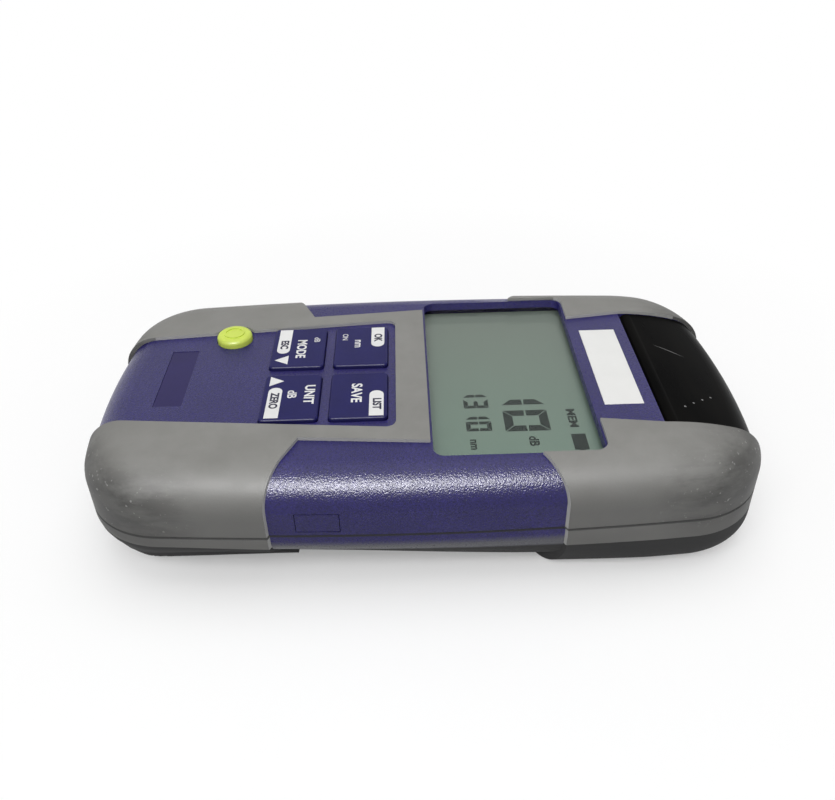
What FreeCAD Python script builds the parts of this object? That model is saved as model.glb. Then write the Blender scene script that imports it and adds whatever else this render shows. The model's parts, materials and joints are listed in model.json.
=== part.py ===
"""Hand-held optical power meter: two housing shells with soft corner bumpers, display,
four keys, power button, flip-up dust cap over the optical port, and two AA cells.

Frame: +X to the user's right, +Y towards the optical port, +Z out of the display.
The origin is under the middle of the meter, which lies on its back on its bumper feet.
All lengths are millimetres.
"""
import FreeCAD, Part
import math
import os

import Sketcher

doc = FreeCAD.newDocument("power_meter")

# ---------------------------------------------------------------- driving dimensions
DIMENSIONS = (
    # alias, value, meaning
    ("overall_length", 151.0, "over the crowns of the two end curves"),
    ("overall_width", 81.0, "over the crowns of the two side curves"),
    ("overall_height", 30.0, "feet to the top of the front bumpers"),
    ("parting_height", 15.0, "height of the joint between the two shells"),
    ("parting_round", 0.3, "edge round on both sides of that joint"),
    ("side_bow_radius", 700.0, "plan curve of the long sides"),
    ("end_bow_radius", 150.0, "plan curve of the two ends"),
    ("corner_radius", 19.0, "plan corners"),
    ("bumper_proud", 0.8, "bumper above the shells, front and sides"),
    ("bumper_end_proud", 1.2, "bumper beyond the shells at the two ends"),
    ("foot_height", 2.2, "rear bumper below the rear shell"),
    ("top_round", 8.8, "edge round of the front bumpers"),
    ("bottom_round", 8.0, "edge round of the rear bumpers"),
    ("nose_length", 25.5, "length over which the front falls towards the port"),
    ("nose_radius", 62.0, "side-view curve of that fall"),
    ("wall", 2.0, "shell wall"),
    ("slip_gap", 0.15, "gap of a part that fits in a pocket"),
    ("close_gap", 0.1, "gap between stacked inner parts"),
    ("joint_root", 0.5, "how far a boss or rib is rooted in the wall behind it"),
    ("cover_gap", 0.3, "gap round a moving cover"),
    # front layout
    ("window_margin", 8.7, "display opening from the crown of each side"),
    ("window_low", 1.6, "display opening, keypad side"),
    ("window_high", 37.2, "display opening, port side"),
    ("window_corner", 2.4, "display opening corners"),
    ("window_lip", 1.1, "lens hidden behind the rim of its opening"),
    ("lens_thickness", 1.2, "display lens"),
    ("plate_half_end", 17.2, "purple front plate between the bumpers, at the end"),
    ("plate_half_keys", 22.4, "purple front plate, at the display"),
    ("plate_top", -6.0, "end of the front plate towards the display"),
    ("plate_corner", 2.2, "front plate corners"),
    ("plate_flare", -66.5, "where the front plate begins to widen"),
    ("strip_half_low", 25.2, "outer edge of the bumper strip, lower end"),
    ("strip_half_high", 27.4, "outer edge of the bumper strip, at the display"),
    ("strip_low", -26.7, "where the strip widens into the corner bumper"),
    ("panel_low", -33.6, "side panel, lower end"),
    ("panel_high", 29.3, "side panel, upper end"),
    ("panel_high_inner", 23.6, "side panel, upper end at the display rim"),
    ("nose_half_low", 21.6, "inner edge of the upper bumpers, at the display"),
    ("rim", 0.5, "housing left showing round the display opening"),
    ("end_panel_margin", 7.4, "stepped-down end of the front plate, from the crown of the end"),
    ("end_panel_depth", 0.35, "step of that end panel"),
    # keys
    ("key_width", 17.6, "each key"),
    ("key_length", 12.9, "each key"),
    ("key_gap_across", 3.2, "between the two columns"),
    ("key_gap_along", 2.3, "between the two rows"),
    ("keypad_centre", -21.9, "middle of the four keys"),
    ("key_proud", 1.0, "key above the front plate"),
    ("key_corner", 1.0, "key corners"),
    ("key_round", 0.5, "key top edge"),
    ("key_flange", 0.9, "flange that holds the key in"),
    ("flange_thickness", 1.0, "key and button flange"),
    ("key_travel", 0.6, "key and button stroke"),
    ("button_round", 1.1, "power button top edge"),
    ("button_ring_height", 0.25, "raised ring on the power button"),
    ("switch_width", 6.0, "switch base under a key"),
    ("switch_height", 1.9, "switch base"),
    ("actuator_radius", 1.75, "switch plunger"),
    ("button_across", -16.4, "power button, from the middle"),
    ("button_along", -46.0, "power button, from the middle"),
    ("button_radius", 4.3, "power button"),
    ("button_proud", 1.9, "power button above the front plate"),
    ("button_notch", 5.3, "hollow in the bumper round the button"),
    # plates
    ("name_half_width", 11.5, "bare name plate"),
    ("name_low", -60.4, "bare name plate"),
    ("name_high", -54.0, "bare name plate"),
    ("label_half_width", 15.9, "bare front label"),
    ("label_low", 39.9, "bare front label"),
    ("label_high", 48.7, "bare front label"),
    ("plate_recess", 0.3, "depth of the two plate pockets"),
    ("plate_gap", 0.05, "between a plate and the edge of its pocket"),
    ("name_plate_thickness", 0.2, "bare name plate"),
    ("label_thickness", 0.35, "bare front label"),
    # dust cap and optical port
    ("cap_front", 51.7, "front edge of the cap"),
    ("cap_margin", 17.1, "sides of the cap from the crown of each side"),
    ("cap_wall", 1.5, "cap side walls"),
    ("cap_bottom", 6.6, "lower edge of the cap"),
    ("hinge_barrel", 2.0, "cap hinge barrel radius"),
    ("pin_radius", 0.75, "hinge pin"),
    ("pin_running_gap", 0.05, "between pin and barrel"),
    ("port_height", 15.5, "axis of the optical port"),
    ("port_radius", 1.26, "bore for a 2.5 mm ferrule"),
    ("port_length", 11.0, "adapter in front of the bulkhead"),
    ("port_body_radius", 5.5, "adapter body"),
    ("port_flange_radius", 8.0, "adapter flange"),
    ("port_flange_thickness", 1.6, "adapter flange"),
    ("port_step", 0.8, "depth of the groove round the adapter body"),
    ("port_groove", 3.8, "middle of that groove from the tip"),
    ("port_groove_width", 1.4, "groove round the adapter body"),
    ("port_chamfer", 0.6, "tip of the adapter"),
    ("port_lead_in", 0.4, "chamfer at the mouth of the bore"),
    ("spigot_wall", 2.0, "adapter body less its spigot"),
    ("spigot_gap", 0.05, "between the spigot and its hole"),
    ("diode_radius", 4.1, "photodiode can"),
    ("diode_rim", 0.5, "photodiode header beyond the can"),
    ("diode_rim_thickness", 0.6, "photodiode header"),
    ("diode_length", 4.4, "photodiode can"),
    ("lead_radius", 0.3, "photodiode leads"),
    ("lead_across", 1.3, "photodiode leads from the middle"),
    ("lead_reach", 2.0, "leads behind the can before they turn up"),
    # inside
    ("board_height", 21.0, "underside of the circuit board"),
    ("board_thickness", 1.6, "circuit board"),
    ("board_margin", 7.5, "circuit board from the crown of each side"),
    ("board_end_margin", 6.0, "circuit board beyond the lower screws"),
    ("board_corner", 4.0, "circuit board corners"),
    ("chip_width", 12.0, "microcontroller, both ways"),
    ("chip_along", 12.0, "microcontroller from the middle"),
    ("chip_height", 1.4, "microcontroller"),
    ("shield_width", 18.0, "shielding can"),
    ("shield_length", 14.0, "shielding can"),
    ("shield_along", 33.0, "shielding can from the middle"),
    ("shield_height", 3.0, "shielding can"),
    ("glass_margin_across", 0.4, "display glass beyond its opening"),
    ("glass_margin_along", 0.6, "display glass beyond its opening"),
    ("glass_thickness", 2.0, "display glass"),
    ("reflector_thickness", 0.6, "display backing"),
    ("zebra_depth", 1.6, "conductive rubber strips"),
    ("zebra_inset", 3.0, "conductive rubber strips short of the glass"),
    ("frame_wall", 1.0, "frame round the display glass"),
    ("frame_drop", 0.9, "frame below the lens"),
    ("cell_radius", 7.2, "AA cell"),
    ("cell_length", 50.5, "AA cell over its button"),
    ("cell_nub_radius", 2.7, "AA cell button"),
    ("cell_nub_height", 1.0, "AA cell button"),
    ("cell_crimp", 0.5, "AA cell rim"),
    ("cell_pitch", 15.4, "between the two cell axes"),
    ("cell_margin", 15.5, "lower end of the cells from the crown of the end"),
    ("bay_wall", 1.5, "battery bay walls"),
    ("bay_gap", 2.4, "battery bay walls below the circuit board"),
    ("contact_thickness", 0.5, "battery contacts"),
    ("contact_width", 10.0, "battery contacts"),
    ("contact_rise", 3.0, "battery contacts above the bay floor"),
    ("leaf_reach", 3.0, "bowed contact leaf"),
    ("leaf_width", 9.0, "bowed contact leaf at its root"),
    ("leaf_tip_width", 1.6, "bowed contact leaf at its tip"),
    ("leaf_thickness", 0.4, "bowed contact leaf"),
    ("leaf_rise", 5.0, "bowed leaf above the bay floor, and its height"),
    ("boss_radius", 3.4, "case screw boss"),
    ("screw_radius", 1.25, "case screw shank"),
    ("screw_head_radius", 2.6, "case screw head"),
    ("screw_inset", 12.0, "case screws from the crown of each side"),
    ("screw_margin", 19.5, "lower pair of case screws from the crown of the end"),
    ("screw_seat_rise", 0.2, "screw seat above the floor of the rear shell"),
    ("screw_head_height", 1.9, "case screw head"),
    ("screw_head_gap", 0.3, "round a screw head"),
    ("screw_socket", 0.9, "hex socket of a case screw"),
    ("screw_point", 0.5, "chamfer of head and point"),
    ("screw_cover", 2.0, "front wall left over the screw points"),
    ("screw_high", 43.6, "upper pair of case screws"),
    ("usb_along", -22.6, "USB socket, from the middle"),
    ("usb_width", 9.0, "USB opening along the side"),
    ("usb_height", 4.6, "USB opening"),
    ("usb_rise", 1.3, "lower edge of the USB opening above the parting joint"),
    ("usb_cover_thickness", 1.2, "USB cover flap"),
    ("usb_step_along", 0.6, "ledge behind the flap, at its ends"),
    ("usb_step_up", 0.4, "ledge behind the flap, above and below"),
    ("socket_setback", 0.7, "USB socket behind the inner wall"),
    ("socket_length", 9.0, "USB socket"),
    ("socket_width", 7.7, "USB socket"),
    ("socket_height", 4.2, "USB socket, mouth edge to the flap's upper edge"),
    ("socket_shell", 0.5, "USB socket sheet"),
    ("socket_back", 2.0, "USB socket, closed back"),
    ("tongue_inset", 1.0, "USB tongue behind the mouth"),
    ("tongue_width", 4.8, "USB tongue"),
    ("tongue_rise", 2.3, "USB tongue below the flap's upper edge"),
    ("tongue_sheet", 0.9, "USB tongue"),
    ("cover_half_width", 15.2, "battery cover"),
    ("cover_reach", 1.5, "battery cover beyond the cells"),
    ("cover_tongue", 1.2, "battery cover rail beyond its edge"),
    ("tongue_thickness", 1.0, "battery cover rail"),
    ("tongue_setback", 2.0, "battery cover rail short of its upper end"),
    ("groove_half_width", 6.0, "thumb grooves of the battery cover"),
    ("groove_width", 1.0, "each thumb groove"),
    ("groove_pitch", 2.4, "between thumb grooves"),
    ("groove_start", 7.0, "first thumb groove from the upper end"),
    ("groove_depth", 0.6, "thumb grooves"),
    ("pad_gap", 1.0, "lower rear bumpers from the battery bay"),
    ("pad_corner", 9.0, "slanted corner of the rear bumpers"),
)

sheet = doc.addObject("Spreadsheet::Sheet", "Sizes")
for row, (alias, value, meaning) in enumerate(DIMENSIONS, start=1):
    sheet.set(f"A{row}", alias)
    sheet.set(f"B{row}", str(value))
    sheet.setAlias(f"B{row}", alias)
    sheet.set(f"C{row}", meaning)
doc.recompute()


class Size:
    """A length kept as a number and as the sheet formula that gives it."""

    def __init__(self, number, formula):
        self.number = number
        self.formula = formula

    def __add__(self, other):
        other = as_size(other)
        return Size(self.number + other.number, f"({self.formula} + {other.formula})")

    def __sub__(self, other):
        other = as_size(other)
        return Size(self.number - other.number, f"({self.formula} - {other.formula})")

    def __mul__(self, factor):
        return Size(self.number * factor, f"({self.formula} * {factor})")

    def __truediv__(self, factor):
        return Size(self.number / factor, f"({self.formula} / {factor})")

    def __neg__(self):
        return Size(-self.number, f"(-1 * {self.formula})")

    def __rmul__(self, factor):
        return self * factor

    def __radd__(self, other):
        return as_size(other) + self

    def __rsub__(self, other):
        return as_size(other) - self


def as_size(value):
    """The value as a Size, whether it is one already or a plain number."""
    if isinstance(value, Size):
        return value
    return Size(float(value), f"({float(value)})")


class Sheet:
    """The driving dimensions as attributes, read back from the spreadsheet."""


dim = Sheet()
for alias, value, meaning in DIMENSIONS:
    setattr(dim, alias, Size(float(sheet.get(alias)), f"Sizes.{alias}"))


def bind(target, path, size):
    """Ties one property of an object to the sheet."""
    target.setExpression(path, as_size(size).formula)


# ---------------------------------------------------------------- sketch helpers
XY, XZ, YZ = "XY_Plane", "XZ_Plane", "YZ_Plane"


def new_body(name):
    return doc.addObject("PartDesign::Body", name)


def attached_sketch(body, name, plane, offset):
    """Sketch on one of the body's own origin planes, moved along that plane's normal."""
    sketch = body.newObject("Sketcher::SketchObject", name)
    origin_plane = next(p for p in body.Origin.OriginFeatures if p.Role == plane)
    sketch.AttachmentSupport = [(origin_plane, "")]
    sketch.MapMode = "FlatFace"
    bind(sketch, "AttachmentOffset.Base.z", offset)
    return sketch


def constrain(sketch, name, size, kind, *where):
    """Adds a named driving constraint and ties it to the sheet."""
    size = as_size(size)
    number = abs(size.number) if kind == "Radius" else size.number
    index = sketch.addConstraint(Sketcher.Constraint(kind, *where, number))
    sketch.renameConstraint(index, name)
    bind(sketch, f"Constraints.{name}", size)


def arc(centre, radius, start, end):
    circle = Part.Circle(FreeCAD.Vector(centre[0], centre[1], 0), FreeCAD.Vector(0, 0, 1), radius)
    return Part.ArcOfCircle(circle, start, end)


def draw_polygon(sketch, corners):
    """Closed straight outline; each corner is a pair of Sizes held by its own constraints."""
    count = len(corners)
    points = [FreeCAD.Vector(x.number, y.number, 0) for x, y in corners]
    for index in range(count):
        sketch.addGeometry(Part.LineSegment(points[index], points[(index + 1) % count]), False)
    for index in range(count):
        nxt = (index + 1) % count
        sketch.addConstraint(Sketcher.Constraint("Coincident", index, 2, nxt, 1))
    for index, (x, y) in enumerate(corners):
        constrain(sketch, f"across{index}", x, "DistanceX", index, 1)
        constrain(sketch, f"along{index}", y, "DistanceY", index, 1)


def draw_rounded_box(sketch, low, high, radius):
    """Rectangle with round corners between two opposite corners."""
    (x0, y0), (x1, y1) = [[as_size(v) for v in corner] for corner in (low, high)]
    r = as_size(radius).number
    left, right, bottom, top = x0.number, x1.number, y0.number, y1.number
    vector = FreeCAD.Vector
    sides = (
        (vector(left + r, bottom, 0), vector(right - r, bottom, 0)),
        (vector(right, bottom + r, 0), vector(right, top - r, 0)),
        (vector(right - r, top, 0), vector(left + r, top, 0)),
        (vector(left, top - r, 0), vector(left, bottom + r, 0)),
    )
    centres = (
        (right - r, bottom + r), (right - r, top - r), (left + r, top - r), (left + r, bottom + r),
    )
    for index in range(4):
        sketch.addGeometry(Part.LineSegment(*sides[index]), False)
        start = math.pi / 2 * (index - 1)
        sketch.addGeometry(arc(centres[index], r, start, start + math.pi / 2), False)
    for index in range(8):
        nxt = (index + 1) % 8
        sketch.addConstraint(Sketcher.Constraint("Tangent", index, 2, nxt, 1))
    for line, kind in ((0, "Horizontal"), (4, "Horizontal"), (2, "Vertical"), (6, "Vertical")):
        sketch.addConstraint(Sketcher.Constraint(kind, line))
    constrain(sketch, "radius", radius, "Radius", 1)
    for corner in (3, 5, 7):
        sketch.addConstraint(Sketcher.Constraint("Equal", 1, corner))
    constrain(sketch, "bottom", y0, "DistanceY", 0, 1)
    constrain(sketch, "right", x1, "DistanceX", 2, 1)
    constrain(sketch, "top", y1, "DistanceY", 4, 1)
    constrain(sketch, "left", x0, "DistanceX", 6, 1)


def draw_bowed_outline(sketch, half_width, half_length, side_radius, end_radius, corner_radius):
    """Plan outline of eight tangent arcs: bowed sides, bowed ends and round corners."""
    side_in = side_radius - half_width
    end_in = end_radius - half_length
    # the corner centre is where circles about the side and the end centres meet
    near = side_radius.number - corner_radius.number
    far = end_radius.number - corner_radius.number
    a = FreeCAD.Vector(-side_in.number, 0, 0)
    b = FreeCAD.Vector(0, -end_in.number, 0)
    apart = (b - a).Length
    along = (near ** 2 - far ** 2 + apart ** 2) / (2 * apart)
    aside = math.sqrt(near ** 2 - along ** 2)
    unit = (b - a).multiply(1 / apart)
    corner = a + unit * along + FreeCAD.Vector(-unit.y, unit.x, 0) * aside
    if corner.x < 0 or corner.y < 0:
        corner = a + unit * along - FreeCAD.Vector(-unit.y, unit.x, 0) * aside
    side_angle = math.atan2(corner.y, corner.x + side_in.number)
    end_angle = math.atan2(corner.y + end_in.number, corner.x)
    quarter = math.pi / 2
    arcs = (
        ((-side_in.number, 0), side_radius.number, -side_angle, side_angle),
        ((corner.x, corner.y), corner_radius.number, side_angle, end_angle),
        ((0, -end_in.number), end_radius.number, end_angle, 2 * quarter - end_angle),
        ((-corner.x, corner.y), corner_radius.number, 2 * quarter - end_angle, 2 * quarter - side_angle),
        ((side_in.number, 0), side_radius.number, 2 * quarter - side_angle, 2 * quarter + side_angle),
        ((-corner.x, -corner.y), corner_radius.number, 2 * quarter + side_angle, 2 * quarter + end_angle),
        ((0, end_in.number), end_radius.number, 2 * quarter + end_angle, 4 * quarter - end_angle),
        ((corner.x, -corner.y), corner_radius.number, 4 * quarter - end_angle, 4 * quarter - side_angle),
    )
    for centre, radius, start, end in arcs:
        sketch.addGeometry(arc(centre, radius, start, end), False)
    for index in range(8):
        sketch.addConstraint(Sketcher.Constraint("Tangent", index, 2, (index + 1) % 8, 1))
    for side in (0, 4):
        sketch.addConstraint(Sketcher.Constraint("PointOnObject", side, 3, -1))
    for end in (2, 6):
        sketch.addConstraint(Sketcher.Constraint("PointOnObject", end, 3, -2))
    constrain(sketch, "side_right", side_radius, "Radius", 0)
    constrain(sketch, "side_left", side_radius, "Radius", 4)
    constrain(sketch, "end_high", end_radius, "Radius", 2)
    constrain(sketch, "end_low", end_radius, "Radius", 6)
    for index in (1, 3, 5, 7):
        constrain(sketch, f"corner{index}", corner_radius, "Radius", index)
    constrain(sketch, "right_centre", -side_in, "DistanceX", 0, 3)
    constrain(sketch, "left_centre", side_in, "DistanceX", 4, 3)
    constrain(sketch, "high_centre", -end_in, "DistanceY", 2, 3)
    constrain(sketch, "low_centre", end_in, "DistanceY", 6, 3)


def pad(body, name, sketch, length):
    feature = body.newObject("PartDesign::Pad", name)
    feature.Profile = sketch
    bind(feature, "Length", length)
    body.Tip = feature
    return feature


def edge_names(shape, wanted):
    """Names of the edges for which wanted(edge) holds."""
    return [f"Edge{i}" for i, edge in enumerate(shape.Edges, start=1) if wanted(edge)]


def body_fillet(body, name, base, edges, radius):
    feature = body.newObject("PartDesign::Fillet", name)
    feature.Base = (base, edges)
    bind(feature, "Radius", radius)
    body.Tip = feature
    return feature


# ---------------------------------------------------------------- solid helpers
def box(name, low, high):
    """Box between two opposite corners."""
    part = doc.addObject("Part::Box", name)
    for prop, axis, start, end in zip(("Length", "Width", "Height"), "xyz", low, high):
        bind(part, prop, as_size(end) - start)
        bind(part, f"Placement.Base.{axis}", start)
    return part


TURNS = {
    "x": FreeCAD.Rotation(FreeCAD.Vector(0, 1, 0), 90),
    "y": FreeCAD.Rotation(FreeCAD.Vector(1, 0, 0), -90),
    "z": FreeCAD.Rotation(),
}


def cylinder(name, base, radius, height, axis="z"):
    """Cylinder from the centre of its lower face along +X, +Y or +Z."""
    part = doc.addObject("Part::Cylinder", name)
    part.Placement = FreeCAD.Placement(FreeCAD.Vector(), TURNS[axis])
    bind(part, "Radius", radius)
    bind(part, "Height", height)
    for letter, value in zip("xyz", base):
        bind(part, f"Placement.Base.{letter}", value)
    return part


def prism(name, corners, low, high):
    """Upright prism on a closed polygon of (x, y) Sizes."""
    sketch = doc.addObject("Sketcher::SketchObject", name + "_outline")
    draw_polygon(sketch, [(as_size(x), as_size(y)) for x, y in corners])
    bind(sketch, "Placement.Base.z", low)
    part = doc.addObject("Part::Extrusion", name)
    part.Base = sketch
    part.DirMode = "Custom"
    part.Dir = FreeCAD.Vector(0, 0, 1)
    part.Solid = True
    bind(part, "LengthFwd", as_size(high) - low)
    return part


def rounded_prism(name, low, high, radius, bottom, top):
    """Upright prism on a rounded rectangle."""
    body = new_body(name)
    sketch = attached_sketch(body, name + "_outline", XY, bottom)
    draw_rounded_box(sketch, low, high, radius)
    pad(body, name + "_pad", sketch, as_size(top) - bottom)
    return body


def fuse(name, *shapes):
    result = doc.addObject("Part::MultiFuse", name)
    result.Shapes = list(shapes)
    result.Refine = True
    return result


def cut(name, base, *tools):
    """Base less all the tools."""
    tool = tools[0] if len(tools) == 1 else fuse(name + "_tools", *tools)
    result = doc.addObject("Part::Cut", name)
    result.Base = base
    result.Tool = tool
    result.Refine = True
    return result


def common(name, first, second):
    result = doc.addObject("Part::Common", name)
    result.Base = first
    result.Tool = second
    result.Refine = True
    return result


nodes = []


def node(label, part):
    """Marks an object as a finished sub-part and gives it its file name."""
    part.Label = label
    nodes.append(part)
    return part


# ---------------------------------------------------------------- derived places
half_width = dim.overall_width / 2
half_length = dim.overall_length / 2
nose_start = half_length - dim.nose_length
screw_across = half_width - dim.screw_inset
front_face = dim.overall_height - dim.bumper_proud
inner_face = front_face - dim.wall
rear_face = dim.foot_height
rear_inner = rear_face + dim.wall
board_top = dim.board_height + dim.board_thickness
flange_bottom = inner_face - dim.flange_thickness
lens_bottom = inner_face - dim.lens_thickness
bulkhead_front = dim.cap_front - dim.cover_gap
bulkhead_back = bulkhead_front - dim.wall
hinge_along = dim.cap_front + dim.hinge_barrel
hinge_height = front_face - dim.hinge_barrel
cap_half_width = half_width - dim.cap_margin
web_inner = cap_half_width + dim.cover_gap
web_outer = web_inner + dim.cap_wall
window_half_width = half_width - dim.window_margin
board_half_width = half_width - dim.board_margin
board_low = dim.screw_margin - dim.board_end_margin - half_length
board_high = bulkhead_back - dim.cover_gap
spigot_radius = dim.port_body_radius - dim.spigot_wall
usb_low = dim.usb_along - dim.usb_width / 2
usb_high = dim.usb_along + dim.usb_width / 2
usb_bottom = dim.parting_height + dim.usb_rise
usb_top = usb_bottom + dim.usb_height
usb_pocket_floor = half_width - dim.bumper_proud - dim.usb_cover_thickness - dim.slip_gap
screw_low = dim.screw_margin - half_length
screw_seat = rear_inner + dim.screw_seat_rise
screw_tip = inner_face - dim.screw_cover
tongue_top = rear_inner + dim.tongue_thickness
bay_inner = dim.cover_half_width + dim.cover_tongue + dim.cover_gap
bay_outer = bay_inner + dim.bay_wall
bay_top = dim.board_height - dim.bay_gap
cell_low = dim.cell_margin - half_length
cell_high = cell_low + dim.cell_length
bay_low = cell_low - dim.leaf_reach - dim.contact_thickness
bay_high = cell_high + dim.contact_thickness
cover_high = cell_high + dim.cover_reach
OUTSIDE = 12.0  # how far cutting tools reach past the meter
far_width = half_width + OUTSIDE
far_length = half_length + OUTSIDE
far_top = dim.overall_height + OUTSIDE


# ---------------------------------------------------------------- envelopes
def round_parting_edge(body, name):
    """Rounds the outline of a shell half where it meets the other half."""
    doc.recompute()
    level = dim.parting_height.number
    edges = edge_names(
        body.Tip.Shape,
        lambda edge: abs(edge.BoundBox.ZMin - level) < 0.001 and abs(edge.BoundBox.ZMax - level) < 0.001)
    rounded = body_fillet(body, name + "_parting", body.Tip, edges, dim.parting_round)
    doc.recompute()
    return rounded


def front_envelope(name, side_inset, end_inset, top_inset, below):
    """Solid outer form of the front half, inset from the bumpers' outer surface."""
    body = new_body(name)
    bottom = dim.parting_height - below
    top = dim.overall_height - top_inset
    sketch = attached_sketch(body, name + "_plan", XY, bottom)
    draw_bowed_outline(
        sketch, half_width - side_inset, half_length - end_inset,
        dim.side_bow_radius - side_inset, dim.end_bow_radius - end_inset,
        dim.corner_radius - side_inset,
    )
    pad(body, name + "_pad", sketch, top - bottom)
    if below.number == 0:
        round_parting_edge(body, name)
    doc.recompute()
    slope = attached_sketch(body, name + "_nose", YZ, 0)
    radius = dim.nose_radius - top_inset
    centre_height = top - radius
    reach = half_length - nose_start + OUTSIDE / 2
    drop = math.sqrt(radius.number ** 2 - reach.number ** 2)
    start = math.atan2(drop, reach.number)
    end_point = FreeCAD.Vector(nose_start.number + reach.number, centre_height.number + drop, 0)
    above = top.number + OUTSIDE
    corner = FreeCAD.Vector(end_point.x, above, 0)
    over = FreeCAD.Vector(nose_start.number, above, 0)
    tangent = FreeCAD.Vector(nose_start.number, top.number, 0)
    slope.addGeometry(
        arc((nose_start.number, centre_height.number), radius.number, start, math.pi / 2), False)
    slope.addGeometry(Part.LineSegment(tangent, over), False)
    slope.addGeometry(Part.LineSegment(over, corner), False)
    slope.addGeometry(Part.LineSegment(corner, end_point), False)
    slope.addConstraint(Sketcher.Constraint("Coincident", 0, 2, 1, 1))
    slope.addConstraint(Sketcher.Constraint("Coincident", 1, 2, 2, 1))
    slope.addConstraint(Sketcher.Constraint("Coincident", 2, 2, 3, 1))
    slope.addConstraint(Sketcher.Constraint("Coincident", 3, 2, 0, 1))
    slope.addConstraint(Sketcher.Constraint("Vertical", 1))
    slope.addConstraint(Sketcher.Constraint("Horizontal", 2))
    slope.addConstraint(Sketcher.Constraint("Vertical", 3))
    constrain(slope, "radius", radius, "Radius", 0)
    constrain(slope, "centre_along", nose_start, "DistanceX", 0, 3)
    constrain(slope, "centre_height", centre_height, "DistanceY", 0, 3)
    constrain(slope, "start_along", nose_start, "DistanceX", 1, 1)
    constrain(slope, "reach", nose_start + reach, "DistanceX", 3, 1)
    constrain(slope, "above", top + OUTSIDE, "DistanceY", 2, 1)
    pocket = body.newObject("PartDesign::Pocket", name + "_slope")
    pocket.Profile = slope
    pocket.SideType = "Symmetric"
    bind(pocket, "Length", dim.overall_width + 2 * OUTSIDE)
    body.Tip = pocket
    doc.recompute()

    def on_upper_rim(edge):
        middle = edge.valueAt((edge.FirstParameter + edge.LastParameter) / 2)
        upright = edge.BoundBox.ZLength > 1 and edge.BoundBox.XLength < 0.01 and edge.BoundBox.YLength < 0.01
        seam = edge.BoundBox.YLength < 0.01 and abs(middle.y - nose_start.number) < 0.01
        return middle.z > bottom.number + 1 and not upright and not seam

    rim_edges = edge_names(pocket.Shape, on_upper_rim)
    body_fillet(body, name + "_round", pocket, rim_edges, dim.top_round - top_inset)
    return body


def rear_envelope(name, side_inset, end_inset, bottom_inset, above):
    """Solid outer form of the rear half."""
    body = new_body(name)
    bottom = as_size(bottom_inset)
    sketch = attached_sketch(body, name + "_plan", XY, bottom)
    draw_bowed_outline(
        sketch, half_width - side_inset, half_length - end_inset,
        dim.side_bow_radius - side_inset, dim.end_bow_radius - end_inset,
        dim.corner_radius - side_inset,
    )
    base = pad(body, name + "_pad", sketch, dim.parting_height + above - bottom)
    doc.recompute()

    def on_lower_rim(edge):
        return edge.BoundBox.ZMax < bottom.number + 0.01

    if above.number == 0:
        base = round_parting_edge(body, name)
    rim_edges = edge_names(base.Shape, on_lower_rim)
    body_fillet(body, name + "_round", base, rim_edges, dim.bottom_round - side_inset)
    return body


skin = dim.bumper_proud
lining = dim.bumper_proud + dim.wall
lining_end = dim.bumper_end_proud + dim.wall
halves_overlap = dim.wall / 2
front_outer = front_envelope("front_outer", as_size(0), as_size(0), as_size(0), as_size(0))
front_shell = front_envelope("front_shell", skin, dim.bumper_end_proud, skin, as_size(0))
front_hollow = front_envelope("front_hollow", lining, lining_end, lining, halves_overlap)
rear_outer = rear_envelope("rear_outer", as_size(0), as_size(0), as_size(0), as_size(0))
rear_shell = rear_envelope("rear_shell", skin, dim.bumper_end_proud, rear_face, as_size(0))
rear_hollow = rear_envelope("rear_hollow", lining, lining_end, rear_inner, halves_overlap)


def turned(name, profile, centre, axis):
    """Body turned about +Y (or +Z) through centre; profile holds (radius, along) corners."""
    body = new_body(name)
    sketch = attached_sketch(body, name + "_profile", XY, 0)
    draw_polygon(sketch, [(as_size(r), as_size(a)) for r, a in profile])
    feature = body.newObject("PartDesign::Revolution", name + "_turn")
    feature.Profile = sketch
    feature.ReferenceAxis = (sketch, ["V_Axis"])
    feature.Angle = 360
    body.Tip = feature
    turn = {"y": FreeCAD.Rotation(), "z": FreeCAD.Rotation(FreeCAD.Vector(1, 0, 0), 90)}[axis]
    body.Placement = FreeCAD.Placement(FreeCAD.Vector(), turn)
    for letter, value in zip("xyz", centre):
        bind(body, f"Placement.Base.{letter}", value)
    return body


def both_sides(maker):
    """Calls maker(side_name, sign) for the left (-1) and the right (+1) side."""
    return [maker("left", -1), maker("right", 1)]


def mirrored_box(name, sign, inner, outer, low, high):
    """Box between two distances from the middle plane, on the side given by sign."""
    x0, x1 = (inner, outer) if sign > 0 else (-as_size(outer), -as_size(inner))
    return box(name, (x0, low[0], low[1]), (x1, high[0], high[1]))


# ---------------------------------------------------------------- shared cutting forms
screw_places = [
    (side, end, across * screw_across, along)
    for side, across in (("left", -1), ("right", 1))
    for end, along in (("lower", screw_low), ("upper", dim.screw_high))
]


def window_prism(name, grow, bottom, top):
    """The display opening grown by a margin."""
    low = (-window_half_width - grow, dim.window_low - grow)
    high = (window_half_width + grow, dim.window_high + grow)
    return rounded_prism(name, low, high, dim.window_corner + grow, bottom, top)


def cap_notch(name, bottom):
    """Room for the dust cap between the two side webs."""
    return box(name, (-web_inner, bulkhead_front, bottom), (web_inner, far_length, far_top))


def nose_walls(name, envelope, bottom):
    """Bulkhead behind the optical port and the two webs beside the cap."""
    bulkhead = box(name + "_bulkhead", (-web_outer, bulkhead_back, bottom),
                   (web_outer, bulkhead_front, far_top))
    webs = both_sides(lambda side, sign: mirrored_box(
        f"{name}_web_{side}", sign, web_inner, web_outer, (bulkhead_back, bottom), (far_length, far_top)))
    return common(name, fuse(name + "_blocks", bulkhead, *webs), envelope)


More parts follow.
